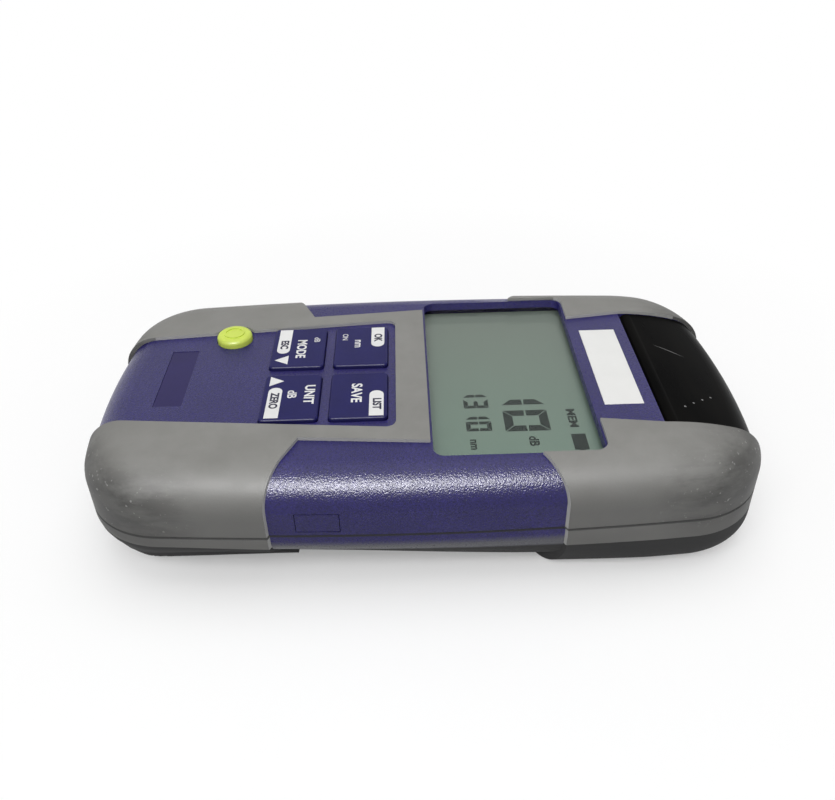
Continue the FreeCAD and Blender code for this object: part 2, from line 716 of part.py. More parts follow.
key_columns = (("left", -1), ("right", 1))
key_rows = (("lower", -1), ("upper", 1))
key_pitch_across = (dim.key_width + dim.key_gap_across) / 2
key_pitch_along = (dim.key_length + dim.key_gap_along) / 2
key_places = [
    (f"{row}_{column}", across * key_pitch_across, dim.keypad_centre + along * key_pitch_along)
    for row, along in key_rows
    for column, across in key_columns
]


def key_form(name, across, along, grow, corner, bottom, top):
    """Prism on one key's outline grown by a margin."""
    low = (across - dim.key_width / 2 - grow, along - dim.key_length / 2 - grow)
    high = (across + dim.key_width / 2 + grow, along + dim.key_length / 2 + grow)
    return rounded_prism(name, low, high, corner, bottom, top)


# ---------------------------------------------------------------- front housing
def end_panel_step():
    """Shallow step in the front plate just before it turns down at the end."""
    floor = front_envelope("end_panel_floor", skin, dim.bumper_end_proud, skin + dim.end_panel_depth, as_size(0))
    zone = box("end_panel_zone", (-dim.plate_half_end, -far_length, dim.parting_height + dim.top_round),
               (dim.plate_half_end, dim.end_panel_margin - half_length, far_top))
    return cut("end_panel_cut", zone, floor)


def make_front_housing():
    shell = cut("front_walls", front_shell, front_hollow)
    walls = nose_walls("front_nose", front_shell, dim.parting_height)
    bosses = [
        cylinder(f"front_boss_{side}_{end}", (x, y, board_top), dim.boss_radius,
                 inner_face + dim.joint_root - board_top)
        for side, end, x, y in screw_places
    ]
    solid = fuse("front_solid", shell, walls, *bosses)
    tools = [
        window_prism("window_cut", as_size(0), lens_bottom, far_top),
        window_prism("lens_pocket", dim.window_lip + dim.slip_gap, dim.board_height, inner_face),
        cap_notch("front_cap_notch", 0),
        cylinder("button_hole", (dim.button_across, dim.button_along, dim.board_height),
                 dim.button_radius + dim.slip_gap, OUTSIDE * 2),
        box("name_pocket",
            (-dim.name_half_width, dim.name_low, front_face - dim.plate_recess),
            (dim.name_half_width, dim.name_high, far_top)),
        box("label_pocket",
            (-dim.label_half_width, dim.label_low, front_face - dim.plate_recess),
            (dim.label_half_width, dim.label_high, far_top)),
        box("usb_hole",
            (board_half_width, usb_low + dim.usb_step_along, usb_bottom + dim.usb_step_up),
            (far_width, usb_high - dim.usb_step_along, usb_top - dim.usb_step_up)),
        box("usb_pocket",
            (usb_pocket_floor, usb_low - dim.slip_gap, usb_bottom - dim.slip_gap),
            (far_width, usb_high + dim.slip_gap, usb_top + dim.slip_gap)),
        cylinder("port_hole_front", (0, bulkhead_back - dim.wall, dim.port_height),
                 spigot_radius, dim.wall * 3, "y"),
        cylinder("pin_hole", (-web_outer, hinge_along, hinge_height), dim.pin_radius, web_outer * 2, "x"),
    ]
    tools.append(end_panel_step())
    for place, across, along in key_places:
        tools.append(key_form(f"key_hole_{place}", across, along, dim.slip_gap,
                              dim.key_corner + dim.slip_gap, dim.board_height, far_top))
    for side, end, x, y in screw_places:
        tools.append(cylinder(f"pilot_{side}_{end}", (x, y, board_top), dim.screw_radius, screw_tip - board_top))
    return node("front_housing", cut("front_housing_part", solid, *tools))


make_front_housing()


# ---------------------------------------------------------------- rear housing
def make_rear_housing():
    shell = cut("rear_walls", rear_shell, rear_hollow)
    walls = nose_walls("rear_nose", rear_shell, rear_face)
    bosses = [
        cylinder(f"rear_boss_{side}_{end}", (x, y, rear_inner - dim.joint_root), dim.boss_radius,
                 dim.board_height - rear_inner + dim.joint_root)
        for side, end, x, y in screw_places
    ]
    bay_start = bay_low - dim.bay_wall
    bay_end = bay_high + dim.bay_wall
    bay_sides = both_sides(lambda side, sign: mirrored_box(
        f"bay_{side}", sign, bay_inner, bay_outer,
        (bay_start, rear_inner - dim.joint_root), (bay_end, bay_top)))
    bay_ends = [
        box("bay_lower", (-bay_inner, bay_start, tongue_top + dim.cover_gap), (bay_inner, bay_low, bay_top)),
        box("bay_upper", (-bay_inner, bay_high, tongue_top + dim.cover_gap), (bay_inner, bay_end, bay_top)),
    ]
    solid = fuse("rear_solid", shell, walls, *bosses, *bay_sides, *bay_ends)
    gap = dim.cover_gap
    tools = [
        cap_notch("rear_cap_notch", dim.cap_bottom - gap),
        box("cover_opening",
            (-dim.cover_half_width - gap, -far_length, -OUTSIDE),
            (dim.cover_half_width + gap, cover_high + gap, rear_inner)),
        box("tongue_slot",
            (-bay_inner, -far_length, rear_inner),
            (bay_inner, cover_high - dim.tongue_setback + gap, tongue_top + gap)),
        cylinder("port_hole_rear", (0, bulkhead_back - dim.wall, dim.port_height), spigot_radius,
                 dim.wall * 3, "y"),
    ]
    for side, end, x, y in screw_places:
        tools.append(cylinder(f"head_hole_{side}_{end}", (x, y, 0), dim.screw_head_radius + dim.screw_head_gap,
                              screw_seat))
        tools.append(cylinder(f"shank_hole_{side}_{end}", (x, y, 0), dim.screw_radius + dim.slip_gap, board_top))
    return node("rear_housing", cut("rear_housing_part", solid, *tools))


make_rear_housing()


# ---------------------------------------------------------------- bumpers
def plate_form(name):
    """Front plate between the lower bumpers: tapered, with round corners at the display."""
    r = dim.plate_corner
    wide, narrow = dim.plate_half_keys, dim.plate_half_end
    main = prism(
        name + "_main",
        ((-narrow, -far_length), (narrow, -far_length), (narrow, dim.plate_flare),
         (wide, dim.plate_top - r), (-wide, dim.plate_top - r), (-narrow, dim.plate_flare)),
        dim.parting_height, far_top)
    end = box(name + "_end", (-wide + r, dim.plate_top - r * 2, dim.parting_height),
              (wide - r, dim.plate_top, far_top))
    rounds = both_sides(lambda side, sign: cylinder(
        f"{name}_{side}", (sign * (wide - r), dim.plate_top - r, dim.parting_height), r,
        far_top - dim.parting_height))
    return fuse(name, main, end, *rounds)


def make_lower_front_bumper():
    edge = dim.window_low - dim.rim
    mask = prism(
        "lower_front_mask",
        ((-far_width, -far_length), (far_width, -far_length), (far_width, dim.panel_low),
         (half_width, dim.panel_low), (dim.strip_half_low, dim.strip_low),
         (dim.strip_half_high, edge), (-dim.strip_half_high, edge),
         (-dim.strip_half_low, dim.strip_low), (-half_width, dim.panel_low), (-far_width, dim.panel_low)),
        dim.parting_height, far_top)
    notch = cylinder("button_notch_cut", (dim.button_across, dim.button_along, dim.parting_height),
                     dim.button_notch, far_top - dim.parting_height)
    blank = common("lower_front_blank", front_skin, mask)
    return node("front_bumper_lower", cut("lower_front_part", blank, plate_form("plate_cut"), notch))


def make_upper_front_bumper(side, sign):
    mask = prism(
        f"upper_front_mask_{side}",
        ((sign * dim.nose_half_low, dim.window_high),
         (sign * web_inner, bulkhead_front), (sign * web_inner, far_length),
         (sign * far_width, far_length), (sign * far_width, dim.panel_high),
         (sign * half_width, dim.panel_high), (sign * window_half_width, dim.panel_high_inner)),
        dim.parting_height, far_top)
    blank = common(f"upper_front_blank_{side}", front_skin, mask)
    window = window_prism(f"window_clear_{side}", dim.rim, dim.parting_height, far_top)
    return node(f"front_bumper_upper_{side}", cut(f"upper_front_part_{side}", blank, window))


PAD_SLANT = 0.55  # rise of the slanted corner over its run


def make_rear_bumper(side, sign, end):
    inner, start = (bay_outer + dim.pad_gap, dim.panel_low) if end == "lower" else (web_outer, dim.panel_high)
    away = -1 if end == "lower" else 1
    edge = start - away * (dim.pad_corner * PAD_SLANT)
    mask = prism(
        f"rear_mask_{end}_{side}",
        ((sign * inner, away * far_length), (sign * inner, edge),
         (sign * (half_width - dim.pad_corner), edge), (sign * half_width, start),
         (sign * far_width, start), (sign * far_width, away * far_length)),
        0, dim.parting_height)
    blank = common(f"rear_blank_{end}_{side}", rear_skin, mask)
    place = screw_low if end == "lower" else dim.screw_high
    hole = cylinder(f"rear_screw_access_{end}_{side}", (sign * screw_across, place, 0),
                    dim.screw_head_radius + dim.screw_head_gap, dim.foot_height)
    return node(f"rear_bumper_{end}_{side}", cut(f"rear_part_{end}_{side}", blank, hole))


front_skin = cut("front_skin", front_outer, front_shell)
rear_skin = cut("rear_skin", rear_outer, rear_shell)
make_lower_front_bumper()
both_sides(make_upper_front_bumper)
for end_name in ("lower", "upper"):
    both_sides(lambda side, sign, end=end_name: make_rear_bumper(side, sign, end))


# ---------------------------------------------------------------- display
glass_half = window_half_width + dim.glass_margin_across
glass_low = dim.window_low - dim.glass_margin_along
glass_high = dim.window_high + dim.glass_margin_along
glass_top = lens_bottom - dim.close_gap
glass_bottom = glass_top - dim.glass_thickness


def make_display():
    node("display_window", window_prism("lens", dim.window_lip, lens_bottom, inner_face))
    node("lcd_glass", box("glass", (-glass_half, glass_low, glass_bottom), (glass_half, glass_high, glass_top)))
    strip_room = dim.zebra_depth + dim.slip_gap
    node("lcd_reflector", box(
        "backing", (-glass_half, glass_low + strip_room, glass_bottom - dim.reflector_thickness),
        (glass_half, glass_high - strip_room, glass_bottom)))
    gap = dim.close_gap
    grow = gap + dim.frame_wall
    ring = box("frame_outer", (-glass_half - grow, glass_low - grow, board_top),
               (glass_half + grow, glass_high + grow, lens_bottom - dim.frame_drop))
    opening = box("frame_inner", (-glass_half - gap, glass_low - gap, board_top),
                  (glass_half + gap, glass_high + gap, lens_bottom))
    node("lcd_frame", cut("frame_ring", ring, opening))
    strip_half = glass_half - dim.zebra_inset
    for strip, start in (("lower", glass_low), ("upper", glass_high - dim.zebra_depth)):
        node(f"zebra_strip_{strip}", box(f"zebra_{strip}", (-strip_half, start, board_top),
                                         (strip_half, start + dim.zebra_depth, glass_bottom)))


make_display()


# ---------------------------------------------------------------- keys and switches
def make_key(place, across, along):
    body = key_form(f"key_{place}_body", across, along, dim.key_flange, dim.key_corner,
                    flange_bottom, inner_face)
    stem = attached_sketch(body, f"key_{place}_stem", XY, inner_face)
    low = (across - dim.key_width / 2, along - dim.key_length / 2)
    high = (across + dim.key_width / 2, along + dim.key_length / 2)
    draw_rounded_box(stem, low, high, dim.key_corner)
    key_top = front_face + dim.key_proud
    raised = pad(body, f"key_{place}_pad", stem, key_top - inner_face)
    doc.recompute()
    rim_edges = edge_names(raised.Shape, lambda edge: edge.BoundBox.ZMin > key_top.number - 0.01)
    body_fillet(body, f"key_{place}_round", raised, rim_edges, dim.key_round)
    return node(f"key_{place}", body)


RING_INNER_SHARE = 0.48  # raised ring on the button, as shares of its radius
RING_OUTER_SHARE = 0.58


def make_button():
    r, flange = dim.button_radius, dim.button_radius + dim.key_flange
    base = dim.flange_thickness
    crown = front_face + dim.button_proud - flange_bottom
    ring_in, ring_out = r * RING_INNER_SHARE, r * RING_OUTER_SHARE
    ring_top = crown + dim.button_ring_height
    body = turned(
        "button_body",
        ((0, 0), (flange, 0), (flange, base), (r, base), (r, crown), (ring_out, crown),
         (ring_out, ring_top), (ring_in, ring_top), (ring_in, crown), (0, crown)),
        (dim.button_across, dim.button_along, flange_bottom), "z")
    doc.recompute()
    shoulder = edge_names(
        body.Tip.Shape,
        lambda edge: edge.Closed and abs(edge.BoundBox.YMax - crown.number) < 0.01
        and abs(edge.BoundBox.XMax - r.number) < 0.01)
    body_fillet(body, "button_round", body.Tip, shoulder, dim.button_round)
    return node("power_button", body)


def make_switch(name, across, along):
    half = dim.switch_width / 2
    base = box(f"{name}_base", (across - half, along - half, board_top),
               (across + half, along + half, board_top + dim.switch_height))
    actuator_top = flange_bottom - dim.key_travel - dim.close_gap
    actuator = cylinder(f"{name}_actuator", (across, along, board_top), dim.actuator_radius,
                        actuator_top - board_top)
    return node(name, fuse(f"{name}_part", base, actuator))


for place, across, along in key_places:
    make_key(place, across, along)
    make_switch(f"switch_{place}", across, along)
make_button()
make_switch("switch_power", dim.button_across, dim.button_along)


# ---------------------------------------------------------------- bare plates
def make_plate(label, half, low, high, thickness):
    gap, floor = dim.plate_gap, front_face - dim.plate_recess
    return node(label, box(label + "_strip", (gap - half, low + gap, floor),
                           (half - gap, high - gap, floor + thickness)))


make_plate("name_plate", dim.name_half_width, dim.name_low, dim.name_high, dim.name_plate_thickness)
make_plate("front_label", dim.label_half_width, dim.label_low, dim.label_high, dim.label_thickness)


# ---------------------------------------------------------------- circuit board
def make_board():
    blank = rounded_prism("board_blank", (-board_half_width, board_low), (board_half_width, board_high),
                          dim.board_corner, dim.board_height, board_top)
    holes = [
        cylinder(f"board_hole_{side}_{end}", (x, y, dim.board_height), dim.screw_radius + dim.slip_gap,
                 dim.board_thickness)
        for side, end, x, y in screw_places
    ]
    notch_half = dim.diode_radius + dim.diode_rim + dim.cover_gap
    notch = box("diode_notch", (-notch_half, bulkhead_back - dim.diode_length - dim.cover_gap, dim.board_height),
                (notch_half, bulkhead_back, board_top))
    return node("main_board", cut("board_part", blank, notch, *holes))


def on_board_back(label, width, length, along, height):
    """Block soldered to the underside of the board."""
    return node(label, box(label + "_block", (-width / 2, along - length / 2, dim.board_height - height),
                           (width / 2, along + length / 2, dim.board_height)))


make_board()
on_board_back("microcontroller", dim.chip_width, dim.chip_width, dim.chip_along, dim.chip_height)
on_board_back("preamp_shield", dim.shield_width, dim.shield_length, dim.shield_along, dim.shield_height)


# ---------------------------------------------------------------- USB socket and flap
def make_usb_socket():
    mouth_end = half_width - lining - dim.socket_setback
    half, sheet_wall = dim.socket_width / 2, dim.socket_shell
    low = usb_top - dim.socket_height
    block = box("socket_block", (mouth_end - dim.socket_length, dim.usb_along - half, low),
                (mouth_end, dim.usb_along + half, dim.board_height))
    mouth = box("socket_mouth",
                (mouth_end - dim.socket_length + dim.socket_back, dim.usb_along - half + sheet_wall,
                 low + sheet_wall),
                (mouth_end, dim.usb_along + half - sheet_wall, dim.board_height - sheet_wall))
    tongue_half, tongue_low = dim.tongue_width / 2, usb_top - dim.tongue_rise
    tongue = box("socket_tongue",
                 (mouth_end - dim.socket_length, dim.usb_along - tongue_half, tongue_low),
                 (mouth_end - dim.tongue_inset, dim.usb_along + tongue_half, tongue_low + dim.tongue_sheet))
    return node("usb_socket", fuse("socket_part", cut("socket_shell_part", block, mouth), tongue))


def make_usb_cover():
    block = box("flap_block", (usb_pocket_floor + dim.slip_gap, usb_low, usb_bottom),
                (far_width, usb_high, usb_top))
    return node("usb_cover", common("flap", front_shell, block))


make_usb_socket()
make_usb_cover()


# ---------------------------------------------------------------- optical port
def make_adapter():
    flange, body, bore = dim.port_flange_radius, dim.port_body_radius, dim.port_radius
    tip, seat, spigot = dim.port_length, dim.port_flange_thickness, spigot_radius - dim.spigot_gap
    waist = body - dim.port_step
    waist_low = tip - dim.port_groove - dim.port_groove_width / 2
    waist_high = waist_low + dim.port_groove_width
    return node("optical_adapter", turned(
        "adapter",
        ((bore, -dim.wall), (spigot, -dim.wall), (spigot, 0), (flange, 0), (flange, seat), (body, seat),
         (body, waist_low), (waist, waist_low), (waist, waist_high), (body, waist_high),
         (body, tip - dim.port_chamfer), (body - dim.port_chamfer, tip),
         (bore + dim.port_lead_in, tip), (bore, tip - dim.port_lead_in)),
        (0, bulkhead_front, dim.port_height), "y"))


def make_photodiode():
    radius, length = dim.diode_radius, dim.diode_length
    rim_edge, rim_back = radius + dim.diode_rim, -dim.diode_rim_thickness
    can = turned(
        "diode_can",
        ((0, -length), (radius, -length), (radius, rim_back), (rim_edge, rim_back), (rim_edge, 0), (0, 0)),
        (0, bulkhead_back, dim.port_height), "y")
    leads = []
    wire = dim.lead_radius
    turn = bulkhead_back - length - dim.lead_reach
    for side, sign in key_columns:
        across = sign * dim.lead_across
        leads.append(cylinder(f"lead_{side}", (across, turn, dim.port_height), wire,
                              dim.lead_reach + dim.joint_root, "y"))
        leads.append(cylinder(f"lead_up_{side}", (across, turn, dim.port_height - wire), wire,
                              dim.board_height - dim.port_height + wire))
    return node("photodiode", fuse("diode_part", can, *leads))


make_adapter()
make_photodiode()


# ---------------------------------------------------------------- dust cap
def make_dust_cap():
    outer = fuse("cap_outer",
                 front_envelope("cap_front_form", skin, dim.bumper_end_proud, skin, halves_overlap),
                 rear_envelope("cap_rear_form", skin, dim.bumper_end_proud, rear_face, halves_overlap))
    hollow = fuse("whole_hollow", front_hollow, rear_hollow)
    block = box("cap_block", (-cap_half_width, hinge_along, dim.cap_bottom),
                (cap_half_width, far_length, far_top))
    inside = cap_half_width - dim.cap_wall
    core = box("cap_core", (-inside, hinge_along - dim.wall, 0), (inside, far_length, far_top))
    skin_part = cut("cap_skin", common("cap_form", block, outer), common("cap_hollow", core, hollow))
    barrel = cylinder("cap_barrel", (-cap_half_width, hinge_along, hinge_height), dim.hinge_barrel,
                      cap_half_width * 2, "x")
    bore = cylinder("cap_bore", (-far_width, hinge_along, hinge_height),
                    dim.pin_radius + dim.pin_running_gap, far_width * 2, "x")
    solid = fuse("cap_solid", skin_part, barrel)
    return node("dust_cap", cut("dust_cap_part", solid, bore))


make_dust_cap()
node("cap_pin", cylinder("hinge_pin", (-web_outer, hinge_along, hinge_height), dim.pin_radius,
                         web_outer * 2, "x"))


# ---------------------------------------------------------------- battery compartment
THUMB_GROOVES = 4


def make_battery_cover():
    half = dim.cover_half_width
    plate = box("cover_plate", (-half, -far_length, 0), (half, cover_high, rear_inner))
    tongue = box("cover_tongues", (-half - dim.cover_tongue, -far_length, rear_inner),
                 (half + dim.cover_tongue, cover_high - dim.tongue_setback, tongue_top))
    solid = common("cover_solid", fuse("cover_blocks", plate, tongue), rear_shell)
    grooves = []
    for index in range(THUMB_GROOVES):
        high = cover_high - dim.groove_start - dim.groove_pitch * index
        grooves.append(box(f"cover_groove{index}", (-dim.groove_half_width, high - dim.groove_width, 0),
                           (dim.groove_half_width, high, rear_face + dim.groove_depth)))
    return node("battery_cover", cut("cover_part", solid, *grooves))


def make_cell(side, sign):
    r, length, nub, crimp = dim.cell_radius, dim.cell_length, dim.cell_nub_radius, dim.cell_crimp
    shoulder = length - dim.cell_nub_height
    profile = [(0, 0), (r - crimp, 0), (r, crimp), (r, shoulder - crimp), (r - crimp, shoulder),
               (nub, shoulder), (nub, length), (0, length)]
    if sign > 0:
        profile = [(radius, length - along) for radius, along in reversed(profile)]
    axis_height = tongue_top + dim.close_gap + r
    return node(f"aa_cell_{side}", turned(f"cell_{side}", profile,
                                          (sign * dim.cell_pitch / 2, cell_low, axis_height), "y"))


LEAF_SLANT = 1.75  # width of the slanting leaf at its root over its thickness


def make_leaf_contact(side, sign):
    """Plate against the lower bay wall with a bowed leaf that presses on the cell."""
    centre = sign * dim.cell_pitch / 2
    half = dim.contact_width / 2
    face = bay_low + dim.contact_thickness
    plate = box(f"contact_plate_{side}", (centre - half, bay_low, tongue_top + dim.contact_rise),
                (centre + half, face, dim.board_height))
    root, tip, thick = dim.leaf_width / 2, dim.leaf_tip_width / 2, dim.leaf_thickness
    inner_root = root - thick * LEAF_SLANT
    leaf = prism(
        f"contact_leaf_{side}",
        ((centre - root, face), (centre - tip, cell_low), (centre + tip, cell_low), (centre + root, face),
         (centre + inner_root, face), (centre + tip, cell_low - thick), (centre - tip, cell_low - thick),
         (centre - inner_root, face)),
        tongue_top + dim.leaf_rise, tongue_top + dim.leaf_rise * 2)
    return node(f"battery_contact_{side}", fuse(f"contact_part_{side}", plate, leaf))


make_battery_cover()
both_sides(make_cell)
both_sides(make_leaf_contact)
bridge_half = dim.cell_pitch / 2 + dim.contact_width / 2
node("battery_bridge", box("bridge", (-bridge_half, cell_high, tongue_top + dim.contact_rise),
                           (bridge_half, bay_high, bay_top)))


# ---------------------------------------------------------------- case screws
def make_screws():
    head, shank, deep = dim.screw_head_radius, dim.screw_radius, dim.screw_head_height
    length, bevel = screw_tip - screw_seat + deep, dim.screw_point
    screws = []
    for side, end, x, y in screw_places:
        screws.append(turned(
            f"screw_{side}_{end}",
            ((0, dim.screw_socket), (dim.screw_socket, 0), (head - bevel, 0), (head, bevel), (head, deep),
             (shank, deep), (shank, length - bevel), (shank - bevel, length), (0, length)),
            (x, y, screw_seat - deep), "z"))
    group = doc.addObject("Part::Compound", "screws")
    group.Links = screws
    return node("case_screws", group)


make_screws()


# ---------------------------------------------------------------- checks and output
doc.recompute()
faults = []
for item in doc.Objects:
    if "Invalid" in item.State or "Error" in item.State:
        faults.append(f"{item.Name} ({item.Label}): {item.State}")
for item in nodes:
    if item.Shape.isNull() or not item.Shape.isValid() or not item.Shape.Solids:
        faults.append(f"{item.Label}: bad shape")
if faults:
    raise RuntimeError("; ".join(faults))

os.makedirs("parts", exist_ok=True)
for item in nodes:
    item.Shape.exportStep(f"parts/{item.Label}.step")
    print(f"{item.Label:28s} solids {len(item.Shape.Solids)}  volume {item.Shape.Volume:10.1f} mm3")
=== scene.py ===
"""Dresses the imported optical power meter: materials, legends, display figures and studio."""

import json
import math

import bmesh
import bpy
from mathutils import Matrix, Vector


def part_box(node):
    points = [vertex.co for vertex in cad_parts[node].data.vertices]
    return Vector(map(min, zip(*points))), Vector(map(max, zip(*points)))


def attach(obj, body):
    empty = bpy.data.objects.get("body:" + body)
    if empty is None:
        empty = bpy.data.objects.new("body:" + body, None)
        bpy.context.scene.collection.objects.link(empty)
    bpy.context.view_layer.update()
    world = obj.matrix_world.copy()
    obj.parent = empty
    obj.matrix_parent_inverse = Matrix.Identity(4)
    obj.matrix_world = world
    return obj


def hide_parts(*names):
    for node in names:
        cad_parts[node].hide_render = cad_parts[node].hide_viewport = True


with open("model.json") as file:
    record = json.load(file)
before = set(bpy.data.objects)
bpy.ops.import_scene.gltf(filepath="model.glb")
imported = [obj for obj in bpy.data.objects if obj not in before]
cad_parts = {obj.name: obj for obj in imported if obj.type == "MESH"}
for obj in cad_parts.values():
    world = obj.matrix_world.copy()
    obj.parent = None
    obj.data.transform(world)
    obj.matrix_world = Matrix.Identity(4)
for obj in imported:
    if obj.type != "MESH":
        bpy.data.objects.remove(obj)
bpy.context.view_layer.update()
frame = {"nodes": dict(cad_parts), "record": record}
nodes = frame["nodes"]
MM = 0.001


def link_object(name, data):
    """New object of the given data, linked to the scene."""
    made = bpy.data.objects.new(name, data)
    bpy.context.scene.collection.objects.link(made)
    return made


# ---------------------------------------------------------------- camera
IMAGE_WIDTH = 835      # pixels
FOCAL_PIXELS = 843.7
SENSOR_WIDTH = 36.0
CAMERA_PLACE = Vector((165.35, -3.15, 138.51)) * MM
CAMERA_AZIMUTH = math.radians(89.27)
CAMERA_ELEVATION = math.radians(35.47)
CAMERA_ROLL = math.radians(-1.34)


def make_camera():
    """Camera above the right-hand side of the meter, close to it."""
    data = bpy.data.cameras.new("camera")
    data.sensor_fit = "HORIZONTAL"
    data.sensor_width = SENSOR_WIDTH
    data.lens = FOCAL_PIXELS / IMAGE_WIDTH * SENSOR_WIDTH
    data.clip_start = 0.01
    data.clip_end = 50
    camera = link_object("camera", data)
    back = Vector((
        math.sin(CAMERA_AZIMUTH) * math.cos(CAMERA_ELEVATION),
        -math.cos(CAMERA_AZIMUTH) * math.cos(CAMERA_ELEVATION),
        math.sin(CAMERA_ELEVATION),
    ))
    right = Vector((0, 0, 1)).cross(back).normalized()
    up = back.cross(right)
    turned_right = right * math.cos(CAMERA_ROLL) + up * math.sin(CAMERA_ROLL)
    turned_up = up * math.cos(CAMERA_ROLL) - right * math.sin(CAMERA_ROLL)
    rows = [[turned_right[i], turned_up[i], back[i], CAMERA_PLACE[i]] for i in range(3)]
    camera.matrix_world = Matrix(rows + [[0, 0, 0, 1]])
    bpy.context.scene.camera = camera


# ---------------------------------------------------------------- node material helpers
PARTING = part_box("rear_bumper_lower_left")[1].z
SEAM_EDGE, SEAM_CORE = 0.00042, 0.00024   # off the parting joint: dark line starts, is full
# Where the bumpers' low edge walls get a painted highlight:
WALL_TILT = 0.45        # least sideways part of the normal on a bumper's edge wall
WALL_INSIDE_X = 0.0300  # walls that face across lie within this of the middle
WALL_END_Y = 0.0660     # and within this along
WALL_INSIDE_Y = 0.0560  # walls that face along lie within this of the middle


class Nodes:
    """A new node material with short calls for adding and linking nodes."""

    def __init__(self, name):
        self.material = bpy.data.materials.new(name)
        self.material.use_nodes = True
        self.tree = self.material.node_tree
        self.shader = self.tree.nodes["Principled BSDF"]
        self.output = self.tree.nodes["Material Output"]

    def add(self, kind, **settings):
        made = self.tree.nodes.new(kind)
        for key, value in settings.items():
            setattr(made, key, value)
        return made

    def link(self, source, target):
        self.tree.links.new(source, target)

    def set(self, **values):
        """Sets plain values on the shader's own sockets; names use _ for a space."""
        for key, value in values.items():
            self.shader.inputs[key.replace("_", " ")].default_value = value

    def place(self):
        """The point in the meter's own frame, in metres."""
        return self.add("ShaderNodeTexCoord").outputs["Object"]

    def axis(self, letter):
        """One coordinate of the point in the meter's own frame, in metres."""
        separate = self.add("ShaderNodeSeparateXYZ")
        self.link(self.place(), separate.inputs[0])
        return separate.outputs[letter]

    def noise(self, size, detail=3.0, roughness=0.5, stretch=None):
        """Noise with features about size metres across, in the meter's own frame."""
        place = self.place()
        if stretch:
            mapping = self.add("ShaderNodeMapping")
            mapping.inputs["Scale"].default_value = stretch
            self.link(place, mapping.inputs["Vector"])
            place = mapping.outputs["Vector"]
        texture = self.add("ShaderNodeTexNoise")
        texture.inputs["Scale"].default_value = 1 / size
        texture.inputs["Detail"].default_value = detail
        texture.inputs["Roughness"].default_value = roughness
        self.link(place, texture.inputs["Vector"])
        return texture.outputs["Fac"]

    def ramp(self, source, low, high, start=0.0, end=1.0):
        """Maps low..high of source onto start..end, clamped."""
        made = self.add("ShaderNodeMapRange")
        made.inputs["From Min"].default_value = low
        made.inputs["From Max"].default_value = high
        made.inputs["To Min"].default_value = start
        made.inputs["To Max"].default_value = end
        self.link(source, made.inputs["Value"])
        return made.outputs["Result"]

    def calc(self, operation, first, second=None):
        """One step of arithmetic on a socket and a socket or plain number."""
        made = self.add("ShaderNodeMath", operation=operation)
        self.link(first, made.inputs[0])
        if isinstance(second, (int, float)):
            made.inputs[1].default_value = second
        elif second is not None:
            self.link(second, made.inputs[1])
        return made.outputs[0]

    def times(self, first, second):
        return self.calc("MULTIPLY", first, second)

    def size_of(self, source):
        return self.calc("ABSOLUTE", source)

    def blend(self, factor, first, second):
        """Colour between first and second by factor."""
        made = self.add("ShaderNodeMix", data_type="RGBA")
        for name, value in (("A", first), ("B", second)):
            socket = next(s for s in made.inputs if s.name == name and s.type == "RGBA")
            if isinstance(value, tuple):
                socket.default_value = (*value, 1)
            else:
                self.link(value, socket)
        self.link(factor, made.inputs[0])
        return next(s for s in made.outputs if s.type == "RGBA")

    def blend_value(self, factor, first, second):
        """Number from first (a socket) to second (plain) by factor."""
        made = self.add("ShaderNodeMix", data_type="FLOAT")
        self.link(factor, made.inputs[0])
        self.link(first, made.inputs[2])
        made.inputs[3].default_value = second
        return made.outputs[0]

    def blend_shader(self, factor, first, second):
        """Surface between two shaders by factor, linked to the output."""
        made = self.add("ShaderNodeMixShader")
        self.link(factor, made.inputs[0])
        self.link(first.outputs[0], made.inputs[1])
        self.link(second.outputs[0], made.inputs[2])
        self.link(made.outputs[0], self.output.inputs["Surface"])

    def seam(self):
        """1 in the fine groove of the parting joint, 0 elsewhere."""
        off = self.size_of(self.calc("SUBTRACT", self.axis("Z"), PARTING))
        return self.ramp(off, SEAM_EDGE, SEAM_CORE)

    def edge_wall_highlight(self):
        """Mask for a painted highlight: 1 on the low walls where a bumper stands up from a
        panel, 0 elsewhere.
        """
        facing = self.add("ShaderNodeSeparateXYZ")
        self.link(self.add("ShaderNodeTexCoord").outputs["Normal"], facing.inputs[0])
        faces_across = self.calc("GREATER_THAN", self.size_of(facing.outputs["X"]), WALL_TILT)
        faces_along = self.calc("GREATER_THAN", self.size_of(facing.outputs["Y"]), WALL_TILT)
        off_x = self.size_of(self.axis("X"))
        off_y = self.size_of(self.axis("Y"))
        near_middle = self.times(self.calc("LESS_THAN", off_x, WALL_INSIDE_X),
                                 self.calc("LESS_THAN", off_y, WALL_END_Y))
        across = self.times(faces_across, near_middle)
        along = self.times(faces_along, self.calc("LESS_THAN", off_y, WALL_INSIDE_Y))
        return self.calc("MAXIMUM", across, along)

    def colour(self, source):
        self.link(source, self.shader.inputs["Base Color"])

    def roughness(self, source):
        self.link(source, self.shader.inputs["Roughness"])

    def bump(self, height, depth, strength):
        """Bump of about depth metres from a 0..1 height."""
        made = self.add("ShaderNodeBump")
        made.inputs["Strength"].default_value = strength
        made.inputs["Distance"].default_value = depth
        self.link(height, made.inputs["Height"])
        self.link(made.outputs["Normal"], self.shader.inputs["Normal"])


# ---------------------------------------------------------------- materials
MID = (0.3, 0.7)    # the part of a noise's range that shows in tone and shine
CORE = (0.35, 0.65)  # a narrower part of it, for more contrast

